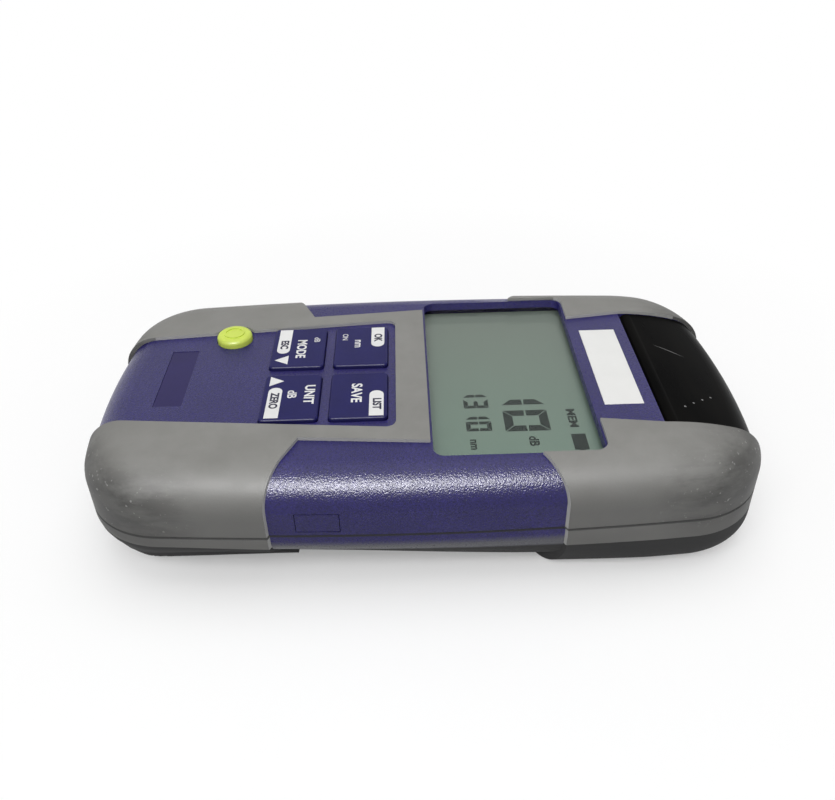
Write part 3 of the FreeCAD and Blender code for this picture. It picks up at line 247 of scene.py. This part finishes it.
PURPLE_DEEP = (0.008, 0.006, 0.058)
PURPLE_LOW = (0.019, 0.015, 0.112)
PURPLE_HIGH = (0.026, 0.021, 0.140)
PURPLE_SEAM = (0.003, 0.003, 0.010)
GREY_LOW = (0.186, 0.184, 0.172)
GREY_HIGH = (0.222, 0.220, 0.208)
GREY_SCUFF = (0.026, 0.023, 0.020)
# painted shade tone, towards the bumper ends
GREY_END_SHADE = (0.060, 0.059, 0.056)
# painted shade tone, lower down on the bumpers
GREY_LOW_SHADE = (0.075, 0.076, 0.076)
# pale tone for real chips and for the painted highlight on the edge walls
GREY_CHIP_AND_EDGE_HIGHLIGHT = (0.42, 0.42, 0.41)
GREY_SEAM = (0.020, 0.020, 0.020)
GREY_RIM = (0.105, 0.108, 0.112)
BLACK = (0.007, 0.007, 0.0075)
MATT = 0.85          # roughness of the black base
SEAM_ROUGHNESS = 0.95

# Heights in metres; a pair is where a change starts and where it is full.
RIM_FADE = (0.0134, 0.0116)     # purple turns grey above the black base
BASE_TOP = 0.0102               # upper limit of the black base
BASE_FADE = (BASE_TOP, BASE_TOP - 0.0008)
BASE_RISE = 0.0018              # the limit is this much higher at the lower end
BASE_RISE_Y = (0.0, -0.050)
SCUFF_TOP = (0.0300, 0.0255)
SCUFF_FOOT = (0.0125, 0.0155)
# Painted shade towards the bumper ends: heights where it starts and where it is full.
END_SHADE_TOP = (0.0310, 0.0250)
# Painted shade lower down on the bumpers: heights where it starts and where it is full.
LOW_SHADE_TOP = (0.0300, 0.0195)
# Distances along from the middle of the meter, in the same way.
SCUFF_ENDS = (0.045, 0.061)
# Painted shade towards the bumper ends: distances where it starts and where it is full.
END_SHADE_ENDS = (0.048, 0.068)


def purple_shell(name="purple_shell", base=False):
    """Spark-textured moulded ABS with fine sparkle; base paints a grey band and, below it, the
    lower part black.
    """
    m = Nodes(name)
    grain = m.noise(0.00055, 2.0, 0.6)
    sparkle = m.noise(0.00034, 1.0, 0.5)
    cloud = m.noise(0.012)
    tone = m.blend(m.ramp(cloud, *CORE), PURPLE_LOW, PURPLE_HIGH)
    colour = m.blend(m.ramp(grain, 0.30, 0.62), PURPLE_DEEP, tone)
    shine = m.ramp(grain, 0.3, 0.75, 0.36, 0.24)
    if base:
        height = m.axis("Z")
        foot = m.ramp(height, *BASE_FADE)
        colour = m.blend(m.times(m.ramp(height, *RIM_FADE), 0.85), colour, GREY_RIM)
        colour = m.blend(foot, colour, BLACK)
        shine = m.blend_value(foot, shine, MATT)
    seam = m.seam()
    m.colour(m.blend(seam, colour, PURPLE_SEAM))
    m.roughness(m.blend_value(seam, shine, SEAM_ROUGHNESS))
    m.set(Specular_IOR_Level=0.29)
    m.bump(sparkle, 0.00010, 1.0)
    return m.material


def grey_rubber(name="grey_bumper", base=False):
    """Soft grey bumper: mottled, scuffed and chipped at the corners; painted shade makes it
    darker low down and towards the ends, and a painted highlight lightens the edge walls.
    """
    m = Nodes(name)
    grain = m.noise(0.0004, 2.0, 0.6)
    mottle = m.noise(0.009, 4.0, 0.6)
    smear = m.noise(0.005, 5.0, 0.65, stretch=(1.0, 0.4, 1.5))
    specks = m.noise(0.0011, 2.0, 0.6)
    along = m.size_of(m.axis("Y"))
    height = m.axis("Z")
    corner = m.times(m.ramp(along, *SCUFF_ENDS),
                     m.times(m.ramp(height, *SCUFF_TOP), m.ramp(height, *SCUFF_FOOT)))
    scuffs = m.times(corner, m.ramp(smear, 0.40, 0.60))
    # Painted shade: darker towards the ends, low on the bumper.
    end_shade = m.times(m.ramp(along, *END_SHADE_ENDS), m.ramp(height, *END_SHADE_TOP))
    # Painted shade: darker lower down on the bumper, mottled.
    low_shade = m.times(m.ramp(height, *LOW_SHADE_TOP), m.ramp(mottle, 0.2, 0.8, 0.40, 0.66))
    chips = m.times(corner, m.ramp(specks, 0.66, 0.70))
    tone = m.blend(m.ramp(mottle, *MID), GREY_LOW, GREY_HIGH)
    tone = m.blend(m.times(scuffs, 0.85), tone, GREY_SCUFF)
    tone = m.blend(m.times(end_shade, 0.80), tone, GREY_END_SHADE)
    tone = m.blend(low_shade, tone, GREY_LOW_SHADE)
    tone = m.blend(m.times(chips, 0.45), tone, GREY_CHIP_AND_EDGE_HIGHLIGHT)
    # Painted highlight: the low edge walls beside the panels are lightened.
    tone = m.blend(m.times(m.edge_wall_highlight(), 0.85), tone, GREY_CHIP_AND_EDGE_HIGHLIGHT)
    shine = m.ramp(mottle, *MID, 0.50, 0.62)
    if base:
        limit = m.ramp(m.axis("Y"), *BASE_RISE_Y, BASE_TOP, BASE_TOP + BASE_RISE)
        under = m.calc("GREATER_THAN", m.calc("SUBTRACT", limit, height), 0.0)
        tone = m.blend(under, tone, BLACK)
        shine = m.blend_value(under, shine, MATT)
    seam = m.seam()
    m.colour(m.blend(m.times(seam, 0.85), tone, GREY_SEAM))
    m.roughness(m.blend_value(seam, shine, SEAM_ROUGHNESS))
    m.set(Specular_IOR_Level=0.30)
    m.bump(grain, 0.00005, 0.45)
    return m.material


def moulded(name, colour, rough=0.45, grain_size=0.0005, depth=0.00004, spread=0.14,
            specular=0.5):
    """Plain moulded plastic with a fine grain and slight tone changes."""
    m = Nodes(name)
    grain = m.noise(grain_size, 2.0, 0.6)
    cloud = m.noise(0.006)
    low = tuple(c * (1 - spread) for c in colour)
    high = tuple(c * (1 + spread) for c in colour)
    m.colour(m.blend(m.ramp(cloud, *MID), low, high))
    m.roughness(m.ramp(grain, *MID, rough - 0.06, rough + 0.06))
    m.set(Specular_IOR_Level=specular)
    m.bump(grain, depth, 0.4)
    return m.material


def ink(name, colour):
    """Printed ink with slight thickness changes."""
    return moulded(name, colour, 0.5, 0.0003, 0.00001, 0.05, 0.3)


def metal(name, colour, rough=0.3, brushed=None):
    """Bare metal with fine tone and shine changes, drawn out along a brushed direction."""
    m = Nodes(name)
    grain = m.noise(0.0006, 3.0, 0.6, stretch=brushed)
    low = tuple(c * 0.86 for c in colour)
    m.colour(m.blend(m.ramp(grain, *MID), low, colour))
    m.roughness(m.ramp(grain, *MID, rough - 0.08, rough + 0.08))
    m.set(Metallic=1.0)
    m.bump(grain, 0.00001, 0.3)
    return m.material


def gloss_black():
    """Smooth black cap, faintly clouded, with wiping marks."""
    m = Nodes("gloss_black")
    wipe = m.noise(0.006, stretch=(0.4, 1.4, 1.0))
    m.colour(m.blend(m.ramp(wipe, *CORE), (0.0022, 0.0022, 0.0022), (0.0040, 0.0038, 0.0035)))
    m.roughness(m.ramp(wipe, *MID, 0.26, 0.36))
    m.set(Specular_IOR_Level=0.01)
    m.bump(m.noise(0.0007, 2.0), 0.00002, 0.2)
    return m.material


def clear_lens():
    """Clear display lens: see-through, with a reflection that grows at low angles."""
    m = Nodes("display_lens")
    m.tree.nodes.remove(m.shader)
    clear = m.add("ShaderNodeBsdfTransparent")
    clear.inputs["Color"].default_value = (0.985, 0.99, 0.985, 1)
    glossy = m.add("ShaderNodeBsdfGlossy")
    glossy.inputs["Roughness"].default_value = 0.14
    facing = m.add("ShaderNodeLayerWeight").outputs["Facing"]
    shine = m.ramp(m.calc("POWER", facing, 3.0), 0.0, 1.0, 0.012, 0.30)
    m.blend_shader(shine, clear, glossy)
    return m.material


def lcd_face():
    """Grey-green display field, faintly mottled, with painted shade: darker towards the far
    side, brighter towards the near side.
    """
    m = Nodes("lcd_glass")
    # Painted shade: the far side of the field is darker than the near side.
    across = m.ramp(m.axis("X"), -0.032, 0.032)
    mottle = m.noise(0.010, 2.0)
    near = m.blend(m.ramp(mottle, *MID), (0.146, 0.213, 0.173), (0.154, 0.222, 0.181))
    m.colour(m.blend(across, (0.128, 0.156, 0.130), near))
    m.roughness(m.ramp(mottle, *MID, 0.52, 0.60))
    m.set(Specular_IOR_Level=0.15)
    return m.material


def circuit_board():
    """Green solder resist over a woven base."""
    m = Nodes("circuit_board")
    weave = m.noise(0.0008, 2.0, stretch=(1.0, 3.0, 1.0))
    m.colour(m.blend(m.ramp(weave, 0.4, 0.6), (0.010, 0.070, 0.030), (0.016, 0.105, 0.045)))
    m.roughness(m.ramp(weave, *MID, 0.3, 0.4))
    m.bump(weave, 0.00003, 0.3)
    return m.material


def cell_wrap():
    """Printed battery sleeve: dark body with a pale band round it."""
    m = Nodes("cell_wrap")
    along = m.axis("Y")
    band = m.times(m.ramp(along, -0.0260, -0.0258), m.ramp(along, -0.0140, -0.0142))
    scratch = m.noise(0.0015)
    body = m.blend(m.ramp(scratch, *MID), (0.020, 0.020, 0.024), (0.030, 0.030, 0.034))
    m.colour(m.blend(band, body, (0.45, 0.42, 0.36)))
    m.roughness(m.ramp(scratch, *MID, 0.25, 0.35))
    m.bump(scratch, 0.00001, 0.2)
    return m.material


# moulded: colour, roughness, grain size, grain depth, spread of tone, specular level
MOULDED = {
    "lcd_reflector": ((0.55, 0.57, 0.55), 0.35),
    "black_plastic": ((0.014, 0.014, 0.015), 0.42),
    "conductive_rubber": ((0.030, 0.030, 0.034), 0.7),
    "key_blue": ((0.009, 0.008, 0.078), 0.40, 0.0004, 0.00003, 0.10, 0.13),
    "button_green": ((0.58, 0.70, 0.10), 0.42, 0.0005, 0.00002, 0.05, 0.3),
    "name_plate": ((0.016, 0.011, 0.076), 0.38, 0.0004, 0.00002, 0.08, 0.16),
    "white_label": ((0.74, 0.74, 0.725), 0.42, 0.0006, 0.00001, 0.02),
    "segment_ink": ((0.006, 0.014, 0.011), 0.7, 0.0003, 0.00001, 0.05, 0.05),
}
INKS = {
    "white_ink": (0.72, 0.72, 0.715),
    "dark_ink": (0.008, 0.007, 0.030),
    # colour of the painted reflections on the cap
    "glint_paint": (0.16, 0.16, 0.16),
}
# metal: colour, roughness, stretch of the grain
METALS = {
    "tinned_steel": ((0.62, 0.61, 0.58), 0.32),
    "nickel": ((0.60, 0.57, 0.52), 0.25, (1.0, 6.0, 1.0)),
    "pin_steel": ((0.50, 0.50, 0.50), 0.3, (0.3, 3.0, 3.0)),
}

materials = {
    "purple_shell": purple_shell(),
    "purple_rear": purple_shell("purple_rear", True),
    "grey_bumper": grey_rubber(),
    "grey_rear": grey_rubber("grey_rear", True),
    "display_lens": clear_lens(),
    "lcd_glass": lcd_face(),
    "circuit_board": circuit_board(),
    "gloss_black": gloss_black(),
    "cell_wrap": cell_wrap(),
}
materials.update({name: moulded(name, *values) for name, values in MOULDED.items()})
materials.update({name: ink(name, colour) for name, colour in INKS.items()})
materials.update({name: metal(name, *values) for name, values in METALS.items()})

REAR_SLOTS = {"purple_shell": "purple_rear", "grey_bumper": "grey_rear"}


def paint_cad_nodes():
    """Gives every CAD node the material of its slot, or the rear half's own."""
    for entry in frame["record"]["subparts"]:
        name, slot = entry["node"], entry["material_slot"]
        if name.startswith("rear_") or name == "battery_cover":
            slot = REAR_SLOTS.get(slot, slot)
        slots = nodes[name].data.materials
        slots.clear()
        slots.append(materials[slot])


paint_cad_nodes()


# ---------------------------------------------------------------- rear half, drawn in
# Metres. Drawing in starts at the first height and is full at the second.
DRAW_HEIGHTS = (0.0130, 0.0030)
SIDE_WIDTHS = (0.0312, 0.0392)      # off the middle: sideways move starts, is full
REACH_RANGE = (0.0006, 0.0066)      # least and most sideways move
REACH_START, REACH_GAIN = 0.0012, 0.0057
REACH_FROM_Y, REACH_SPAN_Y = 0.040, 0.075
END_DISTANCES = (0.059, 0.072)      # towards the lower end: lengthways move starts, is full
END_WIDTHS = (0.017, 0.026)
END_REACH = 0.0050
SOLE_DISTANCES = (-0.020, 0.030)    # towards the lower end: lift of the sole starts, is full
SOLE_WIDTHS = (0.022, 0.034)
SOLE_TOP = 0.006
SOLE_LIFT = 0.0026
CUT_HEIGHTS = (0.0032, 0.0048, 0.0064, 0.0080, 0.0096, 0.0112, 0.0128)
CUT_WIDTHS = (0.0235, 0.0265, 0.0295, 0.0325, 0.0355)
MERGE_DISTANCE = 1e-6
CUT_TOLERANCE = 1e-7
SHARP_ANGLE = math.radians(32)


def clamp(value, low=0.0, high=1.0):
    return min(high, max(low, value))


def share(value, low, high):
    """Where value lies between low and high, 0 to 1."""
    return clamp((value - low) / (high - low))


def smooth_share(value, low, high):
    part = share(value, low, high)
    return part * part * (3 - 2 * part)


def draw_in(point):
    """Moves a point of the rear half inward, more towards the back and the lower end."""
    width, toward_end = abs(point.x), -point.y
    start, full = DRAW_HEIGHTS
    depth = smooth_share(-point.z, -start, -full)
    side = share(width, *SIDE_WIDTHS)
    gain = (REACH_FROM_Y - point.y) / REACH_SPAN_Y * REACH_GAIN
    reach = clamp(REACH_START + gain, *REACH_RANGE)
    end = smooth_share(toward_end, *END_DISTANCES) * smooth_share(width, *END_WIDTHS)
    lower = share(toward_end, *SOLE_DISTANCES)
    sole = smooth_share(width, *SOLE_WIDTHS) * (1 - smooth_share(point.z, 0.0, SOLE_TOP))
    return Vector((
        point.x - math.copysign(reach * depth * side, point.x),
        point.y + END_REACH * depth * end,
        point.z + SOLE_LIFT * lower * sole,
    ))


def drawn_in_copy(name, material):
    """Copy of a rear node, cut across and along, then drawn in; it stands for the node."""
    mesh = nodes[name].data.copy()
    mesh.name = name + "_drawn_in"
    work = bmesh.new()
    work.from_mesh(mesh)
    bmesh.ops.remove_doubles(work, verts=work.verts, dist=MERGE_DISTANCE)
    cuts = [((0, 0, height), (0, 0, 1)) for height in CUT_HEIGHTS]
    cuts += [((side * width, 0, 0), (1, 0, 0)) for width in CUT_WIDTHS for side in (-1, 1)]
    for place, normal in cuts:
        bmesh.ops.bisect_plane(
            work, geom=work.verts[:] + work.edges[:] + work.faces[:],
            dist=CUT_TOLERANCE, plane_co=place, plane_no=normal)
    for vertex in work.verts:
        vertex.co = draw_in(vertex.co)
    work.to_mesh(mesh)
    work.free()
    if "custom_normal" in mesh.attributes:
        mesh.attributes.remove(mesh.attributes["custom_normal"])
    mesh.shade_smooth()
    mesh.set_sharp_from_angle(angle=SHARP_ANGLE)
    mesh.materials.clear()
    mesh.materials.append(materials[material])
    piece = link_object(name + "_drawn_in", mesh)
    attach(piece, "housing")
    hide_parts(name)


drawn_in_copy("rear_housing", "purple_rear")
for corner in ("lower_left", "lower_right", "upper_left", "upper_right"):
    drawn_in_copy("rear_bumper_" + corner, "grey_rear")


# ---------------------------------------------------------------- thin printed shapes
CAPITAL_SHARE = 0.73       # capital height of the built-in font over its size
INK_THICKNESS = 0.02 * MM
PILL_STEPS = 10


class Print:
    """Collects flat outlines and turns them into one thin raised mesh."""

    def __init__(self, name, material, body, slot, height):
        self.name, self.material, self.body, self.slot = name, material, body, slot
        self.height = height
        self.vertices, self.faces = [], []

    def polygon(self, corners):
        """Adds one closed outline, given anticlockwise in mm."""
        start = len(self.vertices)
        count = len(corners)
        for level in (self.height, self.height + INK_THICKNESS):
            self.vertices += [(x * MM, y * MM, level) for x, y in corners]
        self.faces.append([start + count + i for i in range(count)])
        self.faces.append([start + i for i in reversed(range(count))])
        for i in range(count):
            j = (i + 1) % count
            self.faces.append([start + i, start + j, start + count + j, start + count + i])

    def box(self, x0, y0, x1, y1):
        self.polygon([(x0, y0), (x1, y0), (x1, y1), (x0, y1)])

    def pill(self, x0, y0, x1, y1, round_low, round_high):
        """Box with a half-round end towards low x or high x or both."""
        radius = (y1 - y0) / 2
        middle = (y0 + y1) / 2

        def half_round(centre, first_angle):
            turns = [first_angle + math.pi * i / PILL_STEPS for i in range(PILL_STEPS + 1)]
            return [(centre + radius * math.cos(a), middle + radius * math.sin(a))
                    for a in turns]

        corners = half_round(x1 - radius, -math.pi / 2) if round_high else [(x1, y0), (x1, y1)]
        corners += half_round(x0 + radius, math.pi / 2) if round_low else [(x0, y1), (x0, y0)]
        self.polygon(corners)

    def text(self, words, x, y, size, stretch=1.0, bold=0.0):
        """Words centred at x, y in mm; size is the capital height in mm."""
        curve = bpy.data.curves.new(self.name + "_text", "FONT")
        curve.body = words
        curve.align_x, curve.align_y = "CENTER", "CENTER"
        curve.size = size * MM / CAPITAL_SHARE
        curve.offset = bold * MM
        curve.extrude = INK_THICKNESS / 2
        holder = link_object(self.name + "_text", curve)
        mesh = bpy.data.meshes.new_from_object(holder)
        start = len(self.vertices)
        level = self.height + INK_THICKNESS / 2
        for vertex in mesh.vertices:
            place = vertex.co
            self.vertices.append((place.x * stretch + x * MM, place.y + y * MM, place.z + level))
        for face in mesh.polygons:
            self.faces.append([start + i for i in face.vertices])
        bpy.data.objects.remove(holder)
        bpy.data.meshes.remove(mesh)
        bpy.data.curves.remove(curve)

    def build(self):
        mesh = bpy.data.meshes.new(self.name)
        mesh.from_pydata(self.vertices, [], self.faces)
        mesh.update()
        mesh.materials.append(materials[self.material])
        piece = link_object(self.name, mesh)
        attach(piece, self.body)


# ---------------------------------------------------------------- key legends
# All in mm. A pill is x0, y0, x1, y1 and which ends are round (low x, high x);
# words are text, x, y, capital height, stretch, boldness.
LEGENDS = {
    "lower_left": {
        "pill": (-18.6, -34.7, -7.6, -31.6, False, True),
        "pill_word": ("ESC", -11.6, -33.15),
        "arrow": [(-6.6, -31.6), (-4.7, -34.8), (-2.8, -31.6)],
        "words": [("MODE", -9.6, -28.9, 2.3, 0.92, 0.09), ("dB", -13.6, -25.3, 1.5)],
    },
    "lower_right": {
        "pill": (6.9, -34.7, 18.5, -31.6, True, False),
        "pill_word": ("ZERO", 12.0, -33.2),
        "arrow": [(2.4, -34.8), (6.2, -34.8), (4.3, -31.6)],
        "words": [("dB", 9.6, -29.4, 2.1, 1.0, 0.04), ("UNIT", 9.8, -25.5, 2.3, 1.0, 0.09)],
    },
    "upper_left": {
        "pill": (-18.6, -11.9, -9.6, -8.7, False, True),
        "pill_word": ("OK", -13.8, -10.3),
        "words": [("nm", -11.2, -15.0, 2.1, 1.0, 0.04), ("ON", -14.4, -18.4, 1.4)],
    },
    "upper_right": {
        "pill": (9.1, -11.9, 18.6, -8.7, True, False),
        "pill_word": ("LIST", 14.2, -10.25),
        "words": [("SAVE", 9.8, -14.9, 2.4, 1.0, 0.09)],
    },
}
PILL_WORD_STYLE = (1.85, 0.92, 0.10)
PILL_WORD_LEVEL = 0.02 * MM


def key_legends():
    """White words, pills and arrows, with dark words on the pills."""
    for place, legend in LEGENDS.items():
        key = "key_" + place
        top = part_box(key)[1].z
        dark = Print(f"legend_{place}_dark", "dark_ink", key, "name_plate",
                     top + PILL_WORD_LEVEL)
        dark.text(*legend["pill_word"], *PILL_WORD_STYLE)
        dark.build()
        white = Print(f"legend_{place}_white", "white_ink", key, "white_label", top)
        white.pill(*legend["pill"])
        if "arrow" in legend:
            white.polygon(legend["arrow"])
        for words in legend["words"]:
            white.text(*words)
        white.build()


key_legends()


# ---------------------------------------------------------------- display figures
SEGMENTS = {"0": "abcdef", "1": "bc", "3": "abgcd"}
FIGURE_LEVEL = 0.02 * MM    # above the display glass
# Figures: the figure, then x, y of the lower left corner, width, height, bar, gap in mm.
LARGE_FIGURES = [
    ("1", 3.0, 17.8, 7.4, 9.9, 2.0, 0.15),
    ("0", 12.6, 17.8, 7.6, 9.9, 2.0, 0.15),
]
SMALL_FIGURES = "1310"
SMALL_START, SMALL_STEP = 3.6, 4.25
SMALL_SHAPE = (9.3, 3.4, 5.6, 1.0, 0.08)   # y, width, height, bar, gap
DISPLAY_WORDS = [
    ("nm", 24.4, 10.6, 1.9, 1.1, 0.09),
    ("dB", 23.8, 23.4, 2.1, 1.1, 0.09),
    ("MEM", 16.0, 32.9, 1.9, 1.3, 0.09),
]
BATTERY_BOXES = [(21.8, 31.7, 27.2, 34.8), (27.2, 32.6, 27.8, 33.9)]


def anticlockwise(corners):
    """The outline, turned round if it runs clockwise."""
    area = sum(before[0] * here[1] - here[0] * before[1]
               for before, here in zip([corners[-1]] + corners, corners))
    return corners[::-1] if area < 0 else corners


def digit(ink_print, figure, x0, y0, width, height, bar, gap):
    """Seven-segment figure with bevelled bars; x0, y0 is its lower left corner in mm."""
    x1, y1 = x0 + width, y0 + height
    middle = y0 + height / 2
    half = bar / 2
    inset = bar + gap

    def middle_bar(y):
        return [(x0 + gap + half, y), (x0 + inset, y - half), (x1 - inset, y - half),
                (x1 - gap - half, y), (x1 - inset, y + half), (x0 + inset, y + half)]

    def end_bar(y, inward):
        inner = y + inward * bar
        return [(x0 + gap, y), (x1 - gap, y), (x1 - inset, inner), (x0 + inset, inner)]

    def side_bar(x, inward, low, high, low_cut, high_cut):
        """Upright bar at x; a cut end is bevelled towards the bar that it meets."""
        inner = x + inward * bar
        return [(x, low + low_cut * gap), (inner, low + gap + low_cut * bar),
                (inner, high - gap - high_cut * bar), (x, high - high_cut * gap)]

    shapes = {
        "a": end_bar(y1, -1),
        "d": end_bar(y0, 1),
        "g": middle_bar(middle),
        "b": side_bar(x1, -1, middle + gap, y1, 0, 1),
        "c": side_bar(x1, -1, y0, middle - gap, 1, 0),
        "f": side_bar(x0, 1, middle + gap, y1, 0, 1),
        "e": side_bar(x0, 1, y0, middle - gap, 1, 0),
    }
    for letter in SEGMENTS[figure]:
        ink_print.polygon(anticlockwise(shapes[letter]))


def display_figures():
    """Reading, wavelength, units and battery sign, between the display glass and the lens."""
    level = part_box("lcd_glass")[1].z + FIGURE_LEVEL
    shown = Print("display_figures", "segment_ink", "housing", "lcd_glass", level)
    for values in LARGE_FIGURES:
        digit(shown, *values)
    for index, figure in enumerate(SMALL_FIGURES):
        digit(shown, figure, SMALL_START + SMALL_STEP * index, *SMALL_SHAPE)
    for words in DISPLAY_WORDS:
        shown.text(*words)
    for corners in BATTERY_BOXES:
        shown.box(*corners)
    shown.build()


display_figures()


# ---------------------------------------------------------------- cap glints, painted reflections
# All in mm.
# Painted reflections: a thin bright line and four bright dots on the cap.
GLINT_LINE_ENDS = ((-8.8, 56.8), (-4.5, 63.4))
GLINT_LINE_STEPS = 24
GLINT_LINE_HALF, GLINT_LINE_TIP = 0.10, 0.01
GLINT_DOTS = [(16.8, 57.5), (15.2, 59.9), (13.5, 62.4), (12.0, 64.8)]
GLINT_DOT_CORNERS = 10
GLINT_DOT_RADIUS, GLINT_DOT_WAVE = 0.26, 0.05
GLINT_LIFT = 0.012
ABOVE_ALL = 0.1    # metres, where the rays start


def onto_cap(x, y):
    """Point just above the cap's top surface, below x, y in mm."""
    found, place, _, _ = nodes["dust_cap"].ray_cast(
        Vector((x * MM, y * MM, ABOVE_ALL)), Vector((0, 0, -1)))
    return Vector((x * MM, y * MM, (place.z if found else 0.0) + GLINT_LIFT * MM))


def cap_glints():
    """Painted reflections on the smooth cap: a thin bright line and four bright dots, laid on
    its surface.
    """
    vertices, faces = [], []
    (x0, y0), (x1, y1) = GLINT_LINE_ENDS
    for i in range(GLINT_LINE_STEPS + 1):
        along = i / GLINT_LINE_STEPS
        half = GLINT_LINE_HALF * math.sin(math.pi * along) + GLINT_LINE_TIP
        x, y = x0 + (x1 - x0) * along, y0 + (y1 - y0) * along
        vertices += [onto_cap(x + side * half, y) for side in (-1, 1)]
        if i:
            n = 2 * i
            faces.append([n - 2, n - 1, n + 1, n])
    for x, y in GLINT_DOTS:
        start = len(vertices)
        for i in range(GLINT_DOT_CORNERS):
            angle = 2 * math.pi * i / GLINT_DOT_CORNERS
            reach = GLINT_DOT_RADIUS + GLINT_DOT_WAVE * math.sin(3 * angle + x)
            vertices.append(onto_cap(x + reach * math.cos(angle), y + reach * math.sin(angle)))
        faces.append(list(range(start, start + GLINT_DOT_CORNERS)))
    mesh = bpy.data.meshes.new("cap_glints")
    mesh.from_pydata([tuple(v) for v in vertices], [], faces)
    mesh.update()
    mesh.materials.append(materials["glint_paint"])
    piece = link_object("cap_glints", mesh)
    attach(piece, "dust_cap")


cap_glints()


# ---------------------------------------------------------------- studio
FLOOR_HALF = 3.0
FLOOR_BOUNCE = (0.50, 0.50, 0.50)          # for light that reaches the meter off the floor
FLOOR_TONES = ((0.93, 0.93, 0.93), (0.96, 0.96, 0.96))
GLOW_DISTANCES = (0.06, 0.17)              # from the middle: the floor turns plain white
GLOW_LEAST = 0.30
WORLD_LIGHT = 0.42
# name: place, target, size, watts, gloss only
LIGHTS = {
    "key_light": ((0.50, -0.10, 0.72), (0, 0, 0.01), (0.9, 0.25), 3.4, False),
    "shine_light": ((0.62, -0.12, 0.63), (0, 0, 0.01), (0.55, 0.16), 25.0, True),
    "top_light": ((-0.12, 0.05, 1.0), (0, 0, 0), (0.9, 0.9), 4.0, False),
}


def seen_rays(tree):
    """1 for camera, glossy and transmission rays, 0 for the rest."""
    rays = tree.nodes.new("ShaderNodeLightPath")
    total = rays.outputs["Is Camera Ray"]
    for name in ("Is Glossy Ray", "Is Transmission Ray"):
        add = tree.nodes.new("ShaderNodeMath")
        add.operation = "ADD"
        add.use_clamp = True
        tree.links.new(total, add.inputs[0])
        tree.links.new(rays.outputs[name], add.inputs[1])
        total = add.outputs[0]
    return total


def make_floor():
    """Pale floor that keeps the meter's shadow and turns plain white away from it."""
    h = FLOOR_HALF
    mesh = bpy.data.meshes.new("floor")
    mesh.from_pydata([(-h, -h, 0), (h, -h, 0), (h, h, 0), (-h, h, 0)], [], [(0, 1, 2, 3)])
    floor = link_object("floor", mesh)
    m = Nodes("floor")
    m.set(Roughness=0.9, Specular_IOR_Level=0.1)
    rays = seen_rays(m.tree)
    m.colour(m.blend(rays, FLOOR_BOUNCE, m.blend(m.noise(0.05, 2.0), *FLOOR_TONES)))
    distance = m.add("ShaderNodeVectorMath", operation="LENGTH")
    m.link(m.place(), distance.inputs[0])
    away = m.ramp(distance.outputs["Value"], *GLOW_DISTANCES, GLOW_LEAST, 1.0)
    m.blend_shader(m.times(away, rays), m.shader, m.add("ShaderNodeEmission"))
    mesh.materials.append(m.material)


def make_world():
    """Even white surroundings, at full white only where they are seen."""
    world = bpy.data.worlds.new("studio")
    world.use_nodes = True
    tree = world.node_tree
    light = tree.nodes["Background"]
    seen = tree.nodes.new("ShaderNodeBackground")
    for background, strength in ((light, WORLD_LIGHT), (seen, 1.0)):
        background.inputs["Color"].default_value = (1, 1, 1, 1)
        background.inputs["Strength"].default_value = strength
    mix = tree.nodes.new("ShaderNodeMixShader")
    tree.links.new(seen_rays(tree), mix.inputs[0])
    tree.links.new(light.outputs[0], mix.inputs[1])
    tree.links.new(seen.outputs[0], mix.inputs[2])
    tree.links.new(mix.outputs[0], tree.nodes["World Output"].inputs["Surface"])
    bpy.context.scene.world = world


def make_lights():
    """Area lights; one only adds the shine along the near edge."""
    for name, (place, target, size, watts, gloss_only) in LIGHTS.items():
        data = bpy.data.lights.new(name, "AREA")
        data.shape = "RECTANGLE"
        data.size, data.size_y = size
        data.energy = watts
        light = link_object(name, data)
        light.location = place
        direction = Vector(target) - Vector(place)
        light.rotation_euler = direction.to_track_quat("-Z", "Y").to_euler()
        light.visible_diffuse = not gloss_only


make_camera()
make_floor()
make_world()
make_lights()

bpy.context.scene.view_settings.view_transform = "Standard"
